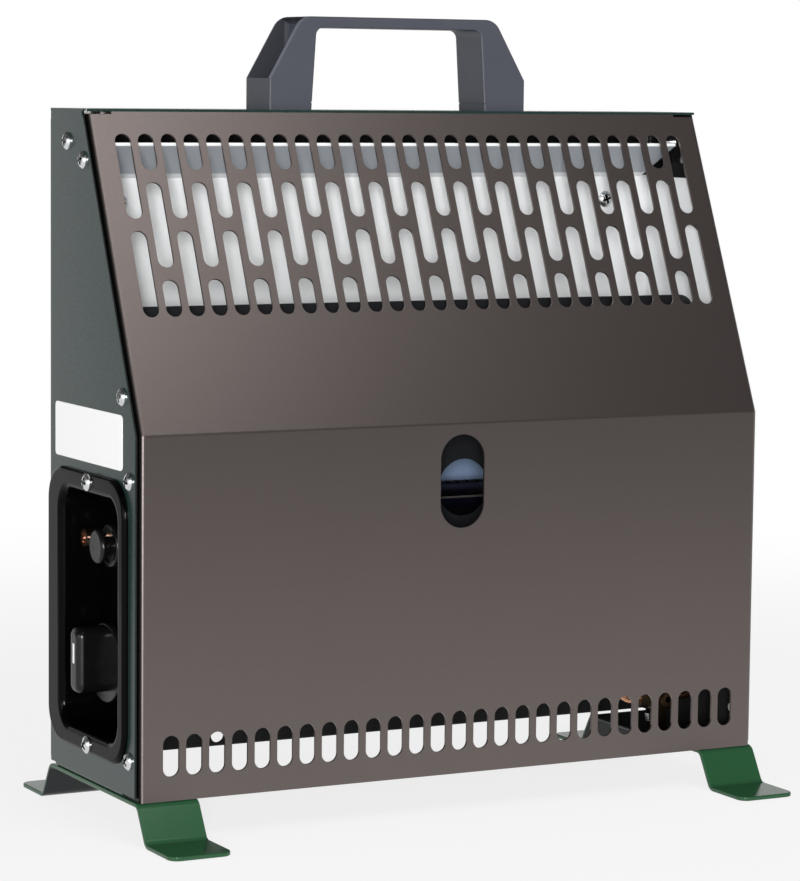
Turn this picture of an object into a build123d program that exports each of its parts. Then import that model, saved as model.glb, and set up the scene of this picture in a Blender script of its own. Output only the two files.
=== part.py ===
from build123d import *
import math
import os

# Camping gas heater: a folded steel casing on two foot straps, with a hot box, a burner,
# a gas valve and a piezo igniter inside. Millimetres, +Z up, the front faces -Y, and the
# origin is on the floor under the middle of the casing.

# Casing
body_width = 329.6          # over the folds of the front panel
body_depth = 105.4          # lower front face to rear face
foot_height = 18.7          # floor to the underside of the casing
panel_height = 311.6        # underside of the casing to the top of the front panel
knee_height = 167.2         # underside of the casing to the bend of the front panel
top_depth = 42.5            # top edge of the front panel to the rear face
sheet = 1.2                 # casing and hot box sheet
fold_radius = 1.8           # outside of a fold
knee_radius = 3.0
side_gap = 0.3              # front panel fold to side panel
lap_gap = 0.1               # between two sheets that lie on each other
corner_relief = 12.0        # open length at each end of the top fold
knee_slit = 1.6             # relief slit in the side folds at the knee
side_inset = 3.2            # side panel's front edge behind the front face
base_flange = 34.0          # side panel's fold under the casing
rear_flange = 14.0          # side panel's fold behind the casing
fold_end = 4.0              # where a fold stops short of a corner
flange_space = 1.0          # between the ends of neighbouring folds
back_rise = 1.4             # lower edge of the back panel above the casing's underside
bracket_width = 16.0
bracket_drop = 25.0
bracket_space = 1.5         # top bracket behind the front panel's fold
vent_hole_radius = 3.5
vent_hole_side = 79.0       # from the middle of the back panel
vent_hole_rise = 6.5        # above the casing's underside

# Slots in the front panel
slot_pitch = 11.5
slot_margin = 11.3          # least distance from an outer slot's middle to the fold
slot_width = 8.0
air_slot_length = 19.0
air_slot_height = 20.7      # middle of the lower row above the casing's underside
long_slot = 42.0
slot_bridge = 6.0           # between slots in one column of the grille
grille_margin = 11.0        # grille to the top edge, along the slope
sight_width = 23.4
sight_length = 44.4
sight_drop = 27.4           # middle of the sight slot below the knee

# Screws
screw_head_radius = 4.1
screw_head_height = 2.3
screw_shank_radius = 1.9
screw_length = 7.0
screw_hole_gap = 0.15
recess_share = 0.55         # cross recess and head rounding, of the head's size
cross_width = 1.0
edge_screw_inset = 9.6      # from the front face
screw_into_bezel = 4.0      # lowest screw above the bezel's lower edge
screw_above_bezel = 0.5     # second screw above the bezel's upper edge
above_knee = 16.5
below_top = 22.2
top_screw_drop = 13.9
top_screw_shift = 1.3       # towards the front from the middle of the top
rear_screw_end = 40.0       # from the ends of the back panel

# Foot straps
strap_width = 30.6
strap_thickness = 2.0
strap_bend = 4.5            # middle of the strap
leg_spread = 9.5            # foot of a leg outside the casing
pad_length = 29.0
pad_corner = 5.0
strap_edge = 0.5
strap_screw_offset = 20.0   # from the middle of the strap

# Carrying handle
handle_width = 139.2
handle_height = 44.4
handle_depth = 26.5
handle_shift = 2.9          # middle of the handle in front of the top plate's middle
handle_shoulder = 15.0
handle_top_width = 105.4
handle_top_radius = 9.0
handle_bar = 5.2
handle_open_low = 94.2      # width of the hand opening at its foot
handle_open_high = 89.2
handle_open_radius = 4.0
handle_wall = 1.8
handle_web = 3.0
handle_edge = 0.9
handle_lip = 3.2            # thickness left above the hollow, at the top bar
handle_groove = 0.5
handle_groove_rise = 3.4
handle_screw_spread = 10.0
handle_screw_depth = 12.0

# Control recess in the left side
recess_height = 79.7        # middle of the recess above the casing's underside
bezel_margin = 10.7         # front and rear edges of the casing to the bezel
bezel_height = 131.4
bezel_corner = 16.5
bezel_proud = 2.5
bezel_edge = 2.0
bezel_tail = 7.5            # the bezel's reach behind its even margin
rim_side = 8.2              # width of the bezel's front side
rim_end = 9.4
open_corner = 10.0
open_edge = 3.4
recess_depth = 16.3         # side panel's face to the recess floor
recess_draft = 3.0          # how far the walls lean in at the floor
recess_wall = 1.8
cutout_gap = 0.6
land_width = 25.0
land_height = 0.8
control_inset = 23.5        # knob's and button's axes from the recess's rear wall, at the floor
recess_screw_inset = 4.2    # from the bezel's ends

# Gas knob and valve
knob_drop = 25.0            # axis below the middle of the recess
skirt_radius = 19.0
skirt_thickness = 3.0
skirt_edge = 1.2
skirt_lift = 4.3            # skirt above the recess floor
grip_height = 15.4
grip_width = 11.4
grip_up = 18.0              # pointer end of the grip from the axis
grip_down = 13.2
grip_edge = 3.4
grip_corner = 4.6
pointer_width = 2.0
pointer_length = 9.4
pointer_depth = 0.5
pointer_start = 1.0
fit_gap = 0.05              # running fits and inlays
spindle_radius = 3.0
spindle_in_knob = 12.0
plunger_radius = 5.5
plunger_length = 22.0
plunger_gap = 0.1
bonnet_radius = 9.0
bonnet_gap = 0.3
valve_depth = 30.0          # front to rear
valve_height = 34.0
valve_length = 36.0
valve_edge = 2.5
valve_spring_length = 14.0
valve_spring_radius = 4.4
valve_spring_wire = 0.5
valve_spring_turns = 4.0
spindle_tail = 3.0

# Piezo igniter
button_rise = 30.2          # axis above the middle of the recess
cap_radius = 8.2
cap_thickness = 2.4
cap_edge = 1.7
cap_lift = 9.5              # underside of the cap above the recess floor
stem_radius = 4.5
stem_length = 22.0
stem_gap = 0.2
nut_radius = 10.2
nut_height = 4.5
neck_radius = 7.8
neck_gap = 0.15
neck_step = 1.0
barrel_radius = 9.0
barrel_length = 34.0
barrel_bottom = 4.0
terminal_radius = 2.6
terminal_length = 4.0
button_spring_radius = 3.6
button_spring_wire = 0.4
button_spring_turns = 6.0
spring_seat = 0.15
nipple_radius = 4.2
nipple_bore = 2.6
nipple_height = 10.4
nipple_inset = 6.3          # from the recess's rear wall, at the floor
nipple_rise = 2.0
nipple_plug_depth = 1.6

# Blank label
label_length = 80.0
label_height = 25.4
label_thickness = 0.3
label_corner = 2.2
label_gap = 4.5             # above the bezel
label_shift = 4.5

# Hot box
box_side_gap = 6.4          # side panels to its side walls
box_floor = 96.0            # above the casing's underside
box_top_drop = 31.6         # top of its walls below the top plate
box_front_gap = 5.0         # side walls behind the front panel
wall_lead = 24.0            # side walls' lower front edge in front of the black plate
plate_space = 45.7          # black front plate in front of the deflector
plate_top = 222.0
plate_corner = 8.0
plate_tab = 7.0
step_space = 16.2           # heat step beside the valve's inner end
step_height = 146.0
sight_hole_radius = 14.0
sight_hole_shift = 27.0
sight_hole_height = 130.4
standoff_length = 8.0
standoff_radius = 4.0
standoff_inset = 25.0       # from the right side wall
standoff_left_inset = 22.0  # from the left side wall
standoff_drop = 11.6        # below the top of the walls
standoff_lift = 10.0        # above the heat step
lip_drop = 15.6             # deflector's front edge below the panel's top
lip_gap = 1.0
deflector_rise = 15.4
deflector_inset = 4.3       # sloping part inside the side walls

# Burner
burner_space = 22.7         # axis in front of the deflector
burner_lift = 23.0          # axis above the hot box floor
burner_radius = 12.0
burner_wall = 1.0
burner_end_gap = 24.0       # closed end to the heat step
burner_mouth_gap = 16.0     # open end to the injector
port_count = 32
port_width = 1.2
port_depth = 9.0
port_reach = 4.8            # how deep the ports cut into the tube
tray_drop = 19.0            # tray floor below the burner's axis
tray_lip = 6.0              # tray lip above the burner's axis
tray_front = 15.0           # from the burner's axis
tray_rear = 17.0
bracket_plate = 2.0
bracket_inset = 33.0        # from the burner's ends

# Gas pipes
pipe_radius = 2.2
pipe_wall = 0.6
pipe_bend = 14.0
pipe_nut_radius = 4.9
pipe_nut_length = 7.0
pipe_drop = 7.4             # below the knob's axis
pipe_shift = 4.3            # in front of the knob's axis
union_inset = 5.0           # from the inner edge of the side panel's fold
union_shift = 8.0           # in front of the black plate
union_height = 20.0
union_size = 11.0
union_port = 4.0
union_port_radius = 3.6
riser_inset = 0.5           # from the hot box's right wall
riser_bend_height = 61.0
injector_inset = 10.5        # from the hot box's right wall
injector_size = 14.0
jet_radius = 3.4
jet_length = 12.0
jet_bore = 0.6
inlet_radius = 6.8
inlet_tail_radius = 4.2
inlet_tail_length = 24.0
inlet_bore = 2.5
inlet_hex = 10.5
inlet_nut_height = 5.0
inlet_gap = 0.3

# Igniter and flame sensor at the burner
electrode_inset = 14.0      # from the heat step
electrode_shift = 8.0       # in front of the burner's axis
electrode_radius = 3.0
electrode_length = 38.0
electrode_tip = 12.0
sensor_inset = 8.0          # from the heat step
sensor_shift = 2.3          # in front of the burner's axis
magnet_shift = 8.7          # sensor lead's socket in the valve, behind the knob's axis
sensor_radius = 2.4
sensor_length = 36.0
lead_radius = 1.3
lead_bend = 5.0
lead_drop = 28.0
lead_start = 8.0            # straight length at the igniter's terminal
hole_gap = 0.2

# Planes and heights that the pieces share
half = body_width / 2
side_inner = half + side_gap
side_outer = side_inner + sheet
y_front = -body_depth / 2
y_rear = body_depth / 2
z_base = foot_height
z_knee = z_base + knee_height
z_top = z_base + panel_height
top_setback = body_depth - top_depth
slope = math.atan2(top_setback, panel_height - knee_height)
slope_length = math.hypot(top_setback, panel_height - knee_height)
y_back_rear = y_rear - sheet - lap_gap
y_back_front = y_back_rear - sheet
y_box_rear = y_back_front - standoff_length
y_box = y_box_rear - sheet
y_plate = y_box - plate_space
z_roof = z_top + sheet
through = 4 * sheet
bezel_depth = body_depth - 2 * bezel_margin
open_depth = bezel_depth - 2 * rim_side
open_height = bezel_height - 2 * rim_end
front_flange = bezel_margin + rim_side - recess_wall - cutout_gap
y_recess_wall = open_depth / 2 - recess_draft
control_shift = y_recess_wall - control_inset
z_recess = z_base + recess_height
z_bezel_low = z_recess - bezel_height / 2
z_bezel_top = z_recess + bezel_height / 2
x_floor = recess_depth - side_outer
x_behind = x_floor + recess_wall
x_valve_end = x_behind + valve_length
x_step = x_valve_end + step_space
box_half = side_inner - box_side_gap - sheet
z_box = z_base + box_floor
z_box_top = z_top - box_top_drop
z_step = z_base + step_height
x_injector = box_half - injector_inset
y_burner = y_box - burner_space
z_burner = z_box + burner_lift
burner_left = x_step + burner_end_gap
burner_right = x_injector - injector_size / 2 - burner_mouth_gap
z_tray = z_burner - tray_drop
z_lead_end = z_tray - 2 * lead_bend
knob_z = z_recess - knob_drop
button_z = z_recess + button_rise
y_pipe = control_shift - pipe_shift
z_pipe = knob_z - pipe_drop
x_electrode = x_step + electrode_inset
y_electrode = y_burner - electrode_shift
x_sensor = x_step + sensor_inset
y_sensor = y_burner - sensor_shift
screw_hole = screw_shank_radius + screw_hole_gap
slot_count = 2 * int((half - slot_margin) / slot_pitch) + 1


def span(x0, x1, y0, y1, z0, z1):
    """Block between two corners."""
    middle = Pos((x0 + x1) / 2, (y0 + y1) / 2, (z0 + z1) / 2)
    return middle * Box(abs(x1 - x0), abs(y1 - y0), abs(z1 - z0))


def rod(start, end, radius, bore=0.0):
    """Round bar between two points, with an optional bore right through."""
    run = Vector(*end) - Vector(*start)
    section = Circle(radius) - Circle(bore) if bore else Circle(radius)
    return extrude(Plane(origin=start, z_dir=run) * section, amount=run.length)


def hexagon(start, end, radius, bore):
    """Hexagonal nut between two points."""
    run = Vector(*end) - Vector(*start)
    section = RegularPolygon(radius, 6) - Circle(bore)
    return extrude(Plane(origin=start, z_dir=run) * section, amount=run.length)


def prism(corners, push, rounded=()):
    """Flat outline, with some corners rounded, pushed along a vector."""
    outline = make_face(Polyline(*corners, close=True))
    for index, radius in rounded:
        corner = outline.vertices().sort_by_distance(corners[index])[0]
        outline = fillet(corner, radius)
    push = Vector(*push)
    return extrude(outline, amount=push.length, dir=push)


def side_prism(points, x0, x1, rounded=()):
    """Outline in the YZ plane, from x0 to x1."""
    return prism([(x0, y, z) for y, z in points], (x1 - x0, 0, 0), rounded)


def front_y(z, depth=0.0):
    """Y of the surface that lies a depth behind the front panel, at a height."""
    sloping = y_front + (z - z_knee) * math.tan(slope) + depth / math.cos(slope)
    return max(y_front + depth, sloping)


def front_line(depth, z_low, z_high):
    """Front line of a piece at a depth behind the front panel: foot, knee and top."""
    bend = z_knee + depth * (1 - 1 / math.cos(slope)) / math.tan(slope)
    return [(y_front + depth, z_low), (y_front + depth, bend), (front_y(z_high, depth), z_high)]


def tube_along(points, radius, bend, wall=0.0):
    """Pipe or lead along straight runs with round bends."""
    path = FilletPolyline(*points, radius=bend) if len(points) > 2 else Line(*points)
    section = Circle(radius) - Circle(radius - wall) if wall else Circle(radius)
    start = Plane(origin=points[0], z_dir=Vector(*points[1]) - Vector(*points[0]))
    return sweep(start * section, path=path)


def coil(start, length, radius, wire, turns):
    """Compression spring along +X, one round wire on quarter-turn pairs of arcs."""
    steps = int(turns * 4)
    rise = length - 2 * wire
    pitch = rise / turns

    def on_helix(angle):
        point = Vector(wire + pitch * angle / math.tau, radius * math.cos(angle), radius * math.sin(angle))
        tangent = Vector(pitch / math.tau, -radius * math.sin(angle), radius * math.cos(angle))
        return point + Vector(*start), tangent.normalized()

    arcs = []
    for step in range(steps):
        p0, t0 = on_helix(step * math.pi / 2)
        p1, t1 = on_helix((step + 1) * math.pi / 2)
        chord = p1 - p0
        lean = 1 - t0.dot(t1)
        along = chord.dot(t0 + t1)
        reach = (-along + math.sqrt(along ** 2 + 2 * lean * chord.dot(chord))) / (2 * lean)
        joint = (p0 + p1 + (t0 - t1) * reach) * 0.5
        turn = (p1 - t1 * reach) - (p0 + t0 * reach)
        arcs.append(TangentArc(p0, joint, tangent=t0))
        arcs.append(TangentArc(joint, p1, tangent=turn.normalized()))
    first, heading = on_helix(0)
    section = Plane(origin=first, z_dir=heading) * Circle(wire)
    spots = [on_helix(step * math.pi / 8)[0] for step in range(steps * 4 + 1)]
    pairs = [(a, b) for i, a in enumerate(spots) for b in spots[i + 8:]]
    least = min((b - a).length for a, b in pairs) - 2 * wire
    print("coil: least gap to itself", round(least, 2), "mm")
    return sweep(section, path=Wire(arcs))


def pan_screw(length=screw_length, head=screw_head_radius, shank=screw_shank_radius):
    """Pan-head screw with a cross recess, its seat at Z = 0 and its shank down."""
    top = Cylinder(head, screw_head_height, align=(Align.CENTER, Align.CENTER, Align.MIN))
    top = fillet(top.edges().group_by(Axis.Z)[-1], screw_head_height * recess_share)
    blade = Pos(0, 0, screw_head_height) * Box(2 * head * recess_share, cross_width, screw_head_height)
    shaft = Pos(0, 0, -length) * Cylinder(shank, length, align=(Align.CENTER, Align.CENTER, Align.MIN))
    return top - blade - Rot(0, 0, 90) * blade + shaft


def placed(screw, places, outward):
    """Copies of a screw with their heads pointing outward."""
    return [Plane(origin=place, z_dir=outward) * screw for place in places]


def holes(places, direction, radius=screw_hole, reach=through):
    """Cutters for screw holes, running both ways from each place."""
    step = Vector(*direction) * reach
    return [rod(tuple(Vector(*p) - step), tuple(Vector(*p) + step), radius) for p in places]


def edge_screws():
    """Y and Z of the screws that hold a side panel."""
    heights = [z_bezel_low + screw_into_bezel, z_bezel_top + screw_above_bezel, z_knee + above_knee,
               z_top - below_top]
    spots = [(front_y(z, edge_screw_inset), z) for z in heights]
    top_middle = (front_y(z_top) + y_rear) / 2 - top_screw_shift
    return spots + [(top_middle, z_top - top_screw_drop)]


def front_panel():
    """One sheet, bent at the knee and folded back on all four sides, with its slots."""
    body = front_line(0, z_base, z_top) + [(y_rear, z_top), (y_rear, z_base)]
    outer = side_prism(body, -half, half, [(1, knee_radius)])
    inside = front_line(sheet, z_base + sheet, z_top - sheet)
    inside += [(y_rear + sheet, z_top - sheet), (y_rear + sheet, z_base + sheet)]
    inner = side_prism(inside, sheet - half, half - sheet, [(1, knee_radius - sheet)])
    outer = fillet(fold_edges(outer, half, 0), fold_radius)
    inner = fillet(fold_edges(inner, half - sheet, sheet), fold_radius - sheet)
    strip = front_line(0, z_base, z_top) + front_line(front_flange, z_base, z_top)[::-1]
    panel = (outer & side_prism(strip, -half, half)) - inner
    y_top = front_y(z_top)
    top_fold_end = handle_middle() - screw_head_radius - flange_space
    panel -= span(-half, half, top_fold_end, y_rear, z_top - sheet, z_roof)
    for side in (-1, 1):
        inner_end = side * (half - corner_relief)
        panel -= span(inner_end, side * (half + sheet), y_top - sheet, y_rear, z_top - sheet, z_roof)
        slit_in = side * (half - fold_radius - sheet)
        panel -= span(slit_in, side * (half + sheet), y_front + 2 * fold_radius, y_front + 2 * front_flange,
                      z_knee - knee_slit / 2, z_knee + knee_slit / 2)
    fixings = [(side * half, y, z) for side in (-1, 1) for y, z in edge_screws()[:-1]]
    return panel - slot_cutters() - holes(fixings, (1, 0, 0))


def fold_edges(block, x, depth):
    """Edges of a block where its front line meets its two ends."""
    found = []
    for edge in block.edges():
        middle = edge.center()
        on_end = abs(abs(middle.X) - x) < lap_gap
        if on_end and abs(middle.Y - front_y(middle.Z, depth)) < knee_radius / 2:
            found.append(edge)
    return found


def slot_cutters():
    """Lower air slots, the staggered grille and the sight slot."""
    lower = Plane(origin=(0, y_front, z_base), x_dir=(1, 0, 0), z_dir=(0, -1, 0))
    upper = Plane(origin=(0, y_front, z_knee), x_dir=(1, 0, 0), z_dir=(0, -math.cos(slope), math.sin(slope)))
    short_slot = (long_slot - slot_bridge) / 2
    grille_top = slope_length - grille_margin
    cutters = [slot_cutter(lower, 0, knee_height - sight_drop, sight_length, sight_width)]
    for column in range(slot_count):
        x = (column - (slot_count - 1) / 2) * slot_pitch
        cutters.append(slot_cutter(lower, x, air_slot_height, air_slot_length, slot_width))
        top = grille_top
        for length in (long_slot, long_slot) if column % 2 == 0 else (short_slot, long_slot, short_slot):
            cutters.append(slot_cutter(upper, x, top - length / 2, length, slot_width))
            top -= length + slot_bridge
    return cutters


def slot_cutter(plane, x, middle, length, width):
    """Cutter for one upright slot with round ends."""
    outline = plane * Pos(x, middle) * Rot(0, 0, 90) * SlotOverall(length, width)
    return extrude(outline, amount=through, both=True)


def right_side_panel():
    """Side sheet with its folds behind and under the casing."""
    outline = front_line(side_inset, z_base + fold_radius, z_top)
    outline += [(y_rear - fold_radius, z_top), (y_rear - fold_radius, z_base + fold_radius)]
    panel = side_prism(outline, side_inner, side_outer)
    rounding = [(1, fold_radius), (4, fold_radius - sheet)]
    base_start = y_front + front_flange + flange_space
    base_run = y_back_front - flange_space - fold_end - base_start
    base = [(x, base_start, z_base + away) for x, away in fold_section(base_flange)]
    panel += prism(base, (0, base_run, 0), rounding)
    rear = [(x, y_rear - away, z_base + fold_end) for x, away in fold_section(rear_flange)]
    panel += prism(rear, (0, 0, panel_height - 2 * fold_end), rounding)
    panel -= holes([(side_outer, y, z) for y, z in edge_screws()], (1, 0, 0))
    panel -= holes([place for place in rear_screws() if place[0] > 0], (0, 1, 0))
    return panel - holes([place for place in strap_screws() if place[0] > 0], (0, 0, 1))


def fold_section(width):
    """Section of a folded edge: X, and the distance from the fold's outer face."""
    inner_edge = side_inner - width
    root = 3 * fold_radius
    return [(side_outer, root), (side_outer, 0), (inner_edge, 0), (inner_edge, sheet), (side_inner, sheet),
            (side_inner, root)]


def left_side_panel():
    """The right panel's mirror image, with the opening for the control recess."""
    panel = mirror(right_side_panel(), about=Plane.YZ)
    grow = 2 * (recess_wall + cutout_gap)
    ring = recess_plane() * RectangleRounded(open_depth + grow, open_height + grow, open_corner + recess_wall)
    fixings = [(-side_outer, 0, z) for z in recess_screw_heights()]
    return panel - extrude(ring, amount=through, both=True) - holes(fixings, (1, 0, 0))


def rear_screws():
    """Places of the screws through the side panels' rear folds."""
    x = side_inner - rear_flange / 2
    heights = [z_base + rear_screw_end, (z_base + z_top) / 2, z_top - rear_screw_end]
    return [(side * x, y_rear, z) for side in (-1, 1) for z in heights]


def strap_screws():
    """Places of the screws that hold the straps to the side panels."""
    x = side_outer - strap_width / 2
    return [(side * x, y, z_base - strap_thickness) for side in (-1, 1)
            for y in (-strap_screw_offset, strap_screw_offset)]


def back_panel():
    """Flat rear sheet in front of the side panels' rear folds."""
    edge = side_inner - fold_radius
    panel = span(-edge, edge, y_back_front, y_back_rear, z_base + back_rise, z_top - lap_gap)
    panel -= holes(rear_screws(), (0, 1, 0))
    panel -= holes(standoff_places(), (0, 1, 0), reach=body_depth)
    vent = (-vent_hole_side, y_rear, z_base + vent_hole_rise)
    panel -= holes([vent], (0, 1, 0), vent_hole_radius)
    return panel - holes([inlet_place()], (0, 1, 0), inlet_radius + inlet_gap)


def top_plate():
    """Flat lid, with holes for the handle's screws."""
    plate = span(-side_outer, side_outer, front_y(z_top), y_rear, z_top, z_roof)
    plate = fillet(plate.edges().filter_by(Axis.Z), fold_radius)
    return plate - holes(handle_screw_places(), (0, 0, 1))


def top_bracket(side):
    """Angle that joins a side panel to the top plate."""
    outside = side_inner - lap_gap
    back = y_back_front - flange_space
    depth = front_flange + bracket_space
    z_high = z_top - lap_gap
    z_low = z_top - bracket_drop
    front_edge = [(front_y(z, depth), z) for z in (z_low, z_high)]
    upright = front_edge + [(back, z_high), (back, z_low)]
    angle = side_prism(upright, outside - sheet, outside)
    angle += span(outside - bracket_width, outside, front_y(z_high, depth), back, z_high - sheet, z_high)
    y, z = edge_screws()[-1]
    angle -= holes([(outside, y, z)], (1, 0, 0))
    return angle if side > 0 else mirror(angle, about=Plane.YZ)


def foot_strap(side):
    """Flat bar bent down to a sloping leg and an outward pad at each end."""
    x = side * (side_outer - strap_width / 2)
    low = strap_thickness / 2
    high = z_base - strap_thickness / 2
    corner = body_depth / 2 - strap_thickness / 5
    foot = body_depth / 2 + leg_spread
    end = foot + pad_length
    rear_half = [(x, corner, high), (x, foot, low), (x, end, low)]
    line = [(x, -y, z) for x, y, z in rear_half[::-1]] + rear_half
    start = Plane(origin=line[0], x_dir=(1, 0, 0), z_dir=(0, 1, 0))
    path = FilletPolyline(*line, radius=strap_bend)
    strap = sweep(start * Rectangle(strap_width, strap_thickness), path=path)
    strap = fillet(strap.edges().filter_by(Axis.Z), pad_corner)
    strap = fillet(strap.faces().filter_by(Plane.YZ).edges(), strap_edge)
    return strap - holes([place for place in strap_screws() if place[0] * side > 0], (0, 0, 1))


def carry_handle():
    """Moulded bridge with solid feet, hollow slanted ends and a flat top bar."""
    wide = handle_width / 2
    top = handle_top_width / 2
    low = handle_open_low / 2
    high = handle_open_high / 2
    rise = handle_height - handle_bar
    y0 = handle_middle() - handle_depth / 2
    outline = [(-wide, 0), (-wide, handle_shoulder), (-top, handle_height), (top, handle_height),
               (wide, handle_shoulder), (wide, 0)]
    opening = [(-low, 0), (-high, rise), (high, rise), (low, 0)]
    push = (0, handle_depth, 0)
    outside = [(x, y0, z_roof + z) for x, z in outline]
    bridge = prism(outside, push, [(corner, handle_top_radius) for corner in (2, 3)])
    inside = [(x, y0, z_roof + z) for x, z in opening]
    bridge -= prism(inside, push, [(corner, handle_open_radius) for corner in (1, 2)])
    rims = [e for e in bridge.faces().filter_by(Axis.Y).edges() if e.center().Z > z_roof + lap_gap]
    bridge = fillet(rims, handle_edge)
    lean = (low - high) / rise
    web_low = low - lean * handle_shoulder + handle_web
    hollow_top = handle_height - handle_lip
    hollow = [(wide + sheet, handle_shoulder), (web_low, handle_shoulder), (high + handle_web, hollow_top),
              (top + handle_web, handle_height + sheet), (wide + sheet, handle_height + sheet)]
    pocket_push = (0, handle_depth - 2 * handle_wall, 0)
    pocket = prism([(x, y0 + handle_wall, z_roof + z) for x, z in hollow], pocket_push)
    bridge -= [pocket, mirror(pocket, about=Plane.YZ)]
    z_groove = z_roof + handle_groove_rise
    for side in (-1, 1):
        bridge -= span(side * (low - handle_web), side * (low + handle_groove), y0 - sheet,
                       y0 + handle_depth + sheet, z_groove, z_groove + handle_groove)
    return bridge - holes(handle_screw_places(), (0, 0, 1), reach=handle_screw_depth)


def handle_middle():
    """Y of the handle's middle."""
    return (front_y(z_top) + y_rear) / 2 - handle_shift


def handle_screw_places():
    """Places of the handle's screws, on the underside of the top plate."""
    middle = (handle_width + handle_open_low) / 4
    offsets = (-handle_screw_spread / 2, handle_screw_spread / 2)
    return [(side * middle + offset, handle_middle(), z_top) for side in (-1, 1) for offset in offsets]


def recess_plane():
    """Plane of the left side panel's face at the recess, with Z pointing out of the casing."""
    return Plane(origin=(-side_outer, 0, z_recess), x_dir=(0, -1, 0), z_dir=(-1, 0, 0))


def recess_screw_heights():
    """Heights of the two screws through the bezel."""
    return [z_bezel_low + recess_screw_inset, z_bezel_top - recess_screw_inset]


def lean_block(depth, height, corner, top, bottom):
    """Rounded block in the recess that narrows inwards, between two levels of the recess plane."""
    lean = recess_draft * (top - bottom) / recess_depth
    wide = recess_plane().offset(top) * RectangleRounded(depth, height, corner)
    narrow = recess_plane().offset(bottom) * RectangleRounded(depth - 2 * lean, height - 2 * lean, corner)
    return loft([narrow, wide])


def control_recess():
    """Moulded tub with a raised bezel, and a flat land for the two controls."""
    outline = RectangleRounded(bezel_depth + bezel_tail, bezel_height, bezel_corner)
    flange = extrude(recess_plane() * Pos(-bezel_tail / 2, 0) * outline, amount=bezel_proud)
    flange = fillet(flange.edges().group_by(Axis.X)[0], bezel_edge)
    grow = 2 * recess_wall
    tub = flange + lean_block(open_depth + grow, open_height + grow, open_corner + recess_wall,
                              bezel_proud / 2, -recess_depth - recess_wall)
    tub -= lean_block(open_depth, open_height, open_corner, bezel_proud, -recess_depth)
    rim = tub.faces().sort_by(Axis.X)[0].inner_wires()[0].edges()
    tub = fillet(rim, open_edge)
    land_long = open_height - 2 * recess_draft - 2 * open_corner
    floor = recess_plane().offset(-recess_depth)
    land = floor * Pos(-control_shift, 0) * RectangleRounded(land_width, land_long, recess_draft)
    tub += extrude(land, amount=land_height)
    tub -= holes([(x_floor, control_shift, knob_z)], (1, 0, 0), bonnet_radius + bonnet_gap)
    tub -= holes([(x_floor, control_shift, button_z)], (1, 0, 0), neck_radius + neck_gap)
    tub -= holes([nipple_place()], (1, 0, 0), nipple_bore + hole_gap)
    return tub - holes([(-side_outer, 0, z) for z in recess_screw_heights()], (1, 0, 0))


def recess_x(lift):
    """X at a height above the recess floor, towards the outside."""
    return x_floor - lift


def nipple_place():
    """Seat of the test nipple on the recess floor."""
    return (recess_x(0), y_recess_wall - nipple_inset, button_z + nipple_rise)


def control_knob():
    """Skirt and bar grip of the gas knob, bored for the spindle."""
    y, z = control_shift, knob_z
    face = recess_x(skirt_lift + skirt_thickness)
    knob = rod((recess_x(skirt_lift), y, z), (face, y, z), skirt_radius)
    knob = fillet(knob.edges().group_by(Axis.X)[0], skirt_edge)
    middle = (grip_up - grip_down) / 2
    grip_plane = Plane(origin=(face + skirt_thickness / 2, y, z + middle), x_dir=(0, -1, 0), z_dir=(-1, 0, 0))
    outline = RectangleRounded(grip_width, grip_up + grip_down, grip_corner)
    grip = extrude(grip_plane * outline, amount=grip_height + skirt_thickness / 2)
    grip = fillet(grip.edges().group_by(Axis.X)[0], grip_edge)
    knob += grip
    knob -= rod((recess_x(0), y, z), (recess_x(skirt_lift + spindle_in_knob), y, z), spindle_radius + fit_gap)
    return knob - pointer_block(fit_gap)


def pointer_block(gap):
    """Pointer inlay in the grip's outer face, or with a gap, its groove."""
    face = recess_x(skirt_lift + skirt_thickness + grip_height)
    low = knob_z + pointer_start
    wide = pointer_width / 2 + gap
    return span(face - 2 * gap, face + pointer_depth + gap, control_shift - wide, control_shift + wide,
                low - gap, low + pointer_length + gap)


def plunger_front():
    """X of the plunger's outer end, just inside the knob's skirt."""
    return recess_x(skirt_lift) + side_gap


def valve_plunger():
    """Thrust sleeve that the knob pushes in, bored for the spindle."""
    y, z = control_shift, knob_z
    front = plunger_front()
    return rod((front, y, z), (front + plunger_length, y, z), plunger_radius, spindle_radius + fit_gap)


def valve_spindle():
    """Spindle that the knob turns, running through the plunger."""
    y, z = control_shift, knob_z
    outer = recess_x(skirt_lift + spindle_in_knob - spring_seat)
    return rod((outer, y, z), (plunger_front() + plunger_length + spindle_tail, y, z), spindle_radius)


def valve_body():
    """Valve block behind the recess floor, with its bonnet and plunger bore."""
    y, z = control_shift, knob_z
    back = x_behind
    block = span(back, back + valve_length, y - valve_depth / 2, y + valve_depth / 2,
                 z - valve_height / 2, z + valve_height / 2)
    block = fillet(block.edges().filter_by(Axis.X), valve_edge)
    block += rod((recess_x(land_height), y, z), (back + valve_edge, y, z), bonnet_radius)
    bore_end = plunger_front() + plunger_length + valve_spring_length
    return block - rod((recess_x(2 * land_height), y, z), (bore_end, y, z), plunger_radius + plunger_gap)


def valve_spring():
    """Return spring behind the plunger."""
    start = (plunger_front() + plunger_length + spring_seat, control_shift, knob_z)
    return coil(start, valve_spring_length - 2 * spring_seat, valve_spring_radius, valve_spring_wire,
                valve_spring_turns)


def piezo_button():
    """Round cap on a stem."""
    y, z = control_shift, button_z
    under = recess_x(cap_lift)
    cap = rod((under, y, z), (under - cap_thickness, y, z), cap_radius)
    cap = fillet(cap.edges().group_by(Axis.X)[0], cap_edge)
    return cap + rod((under, y, z), (under + stem_length, y, z), stem_radius)


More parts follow.
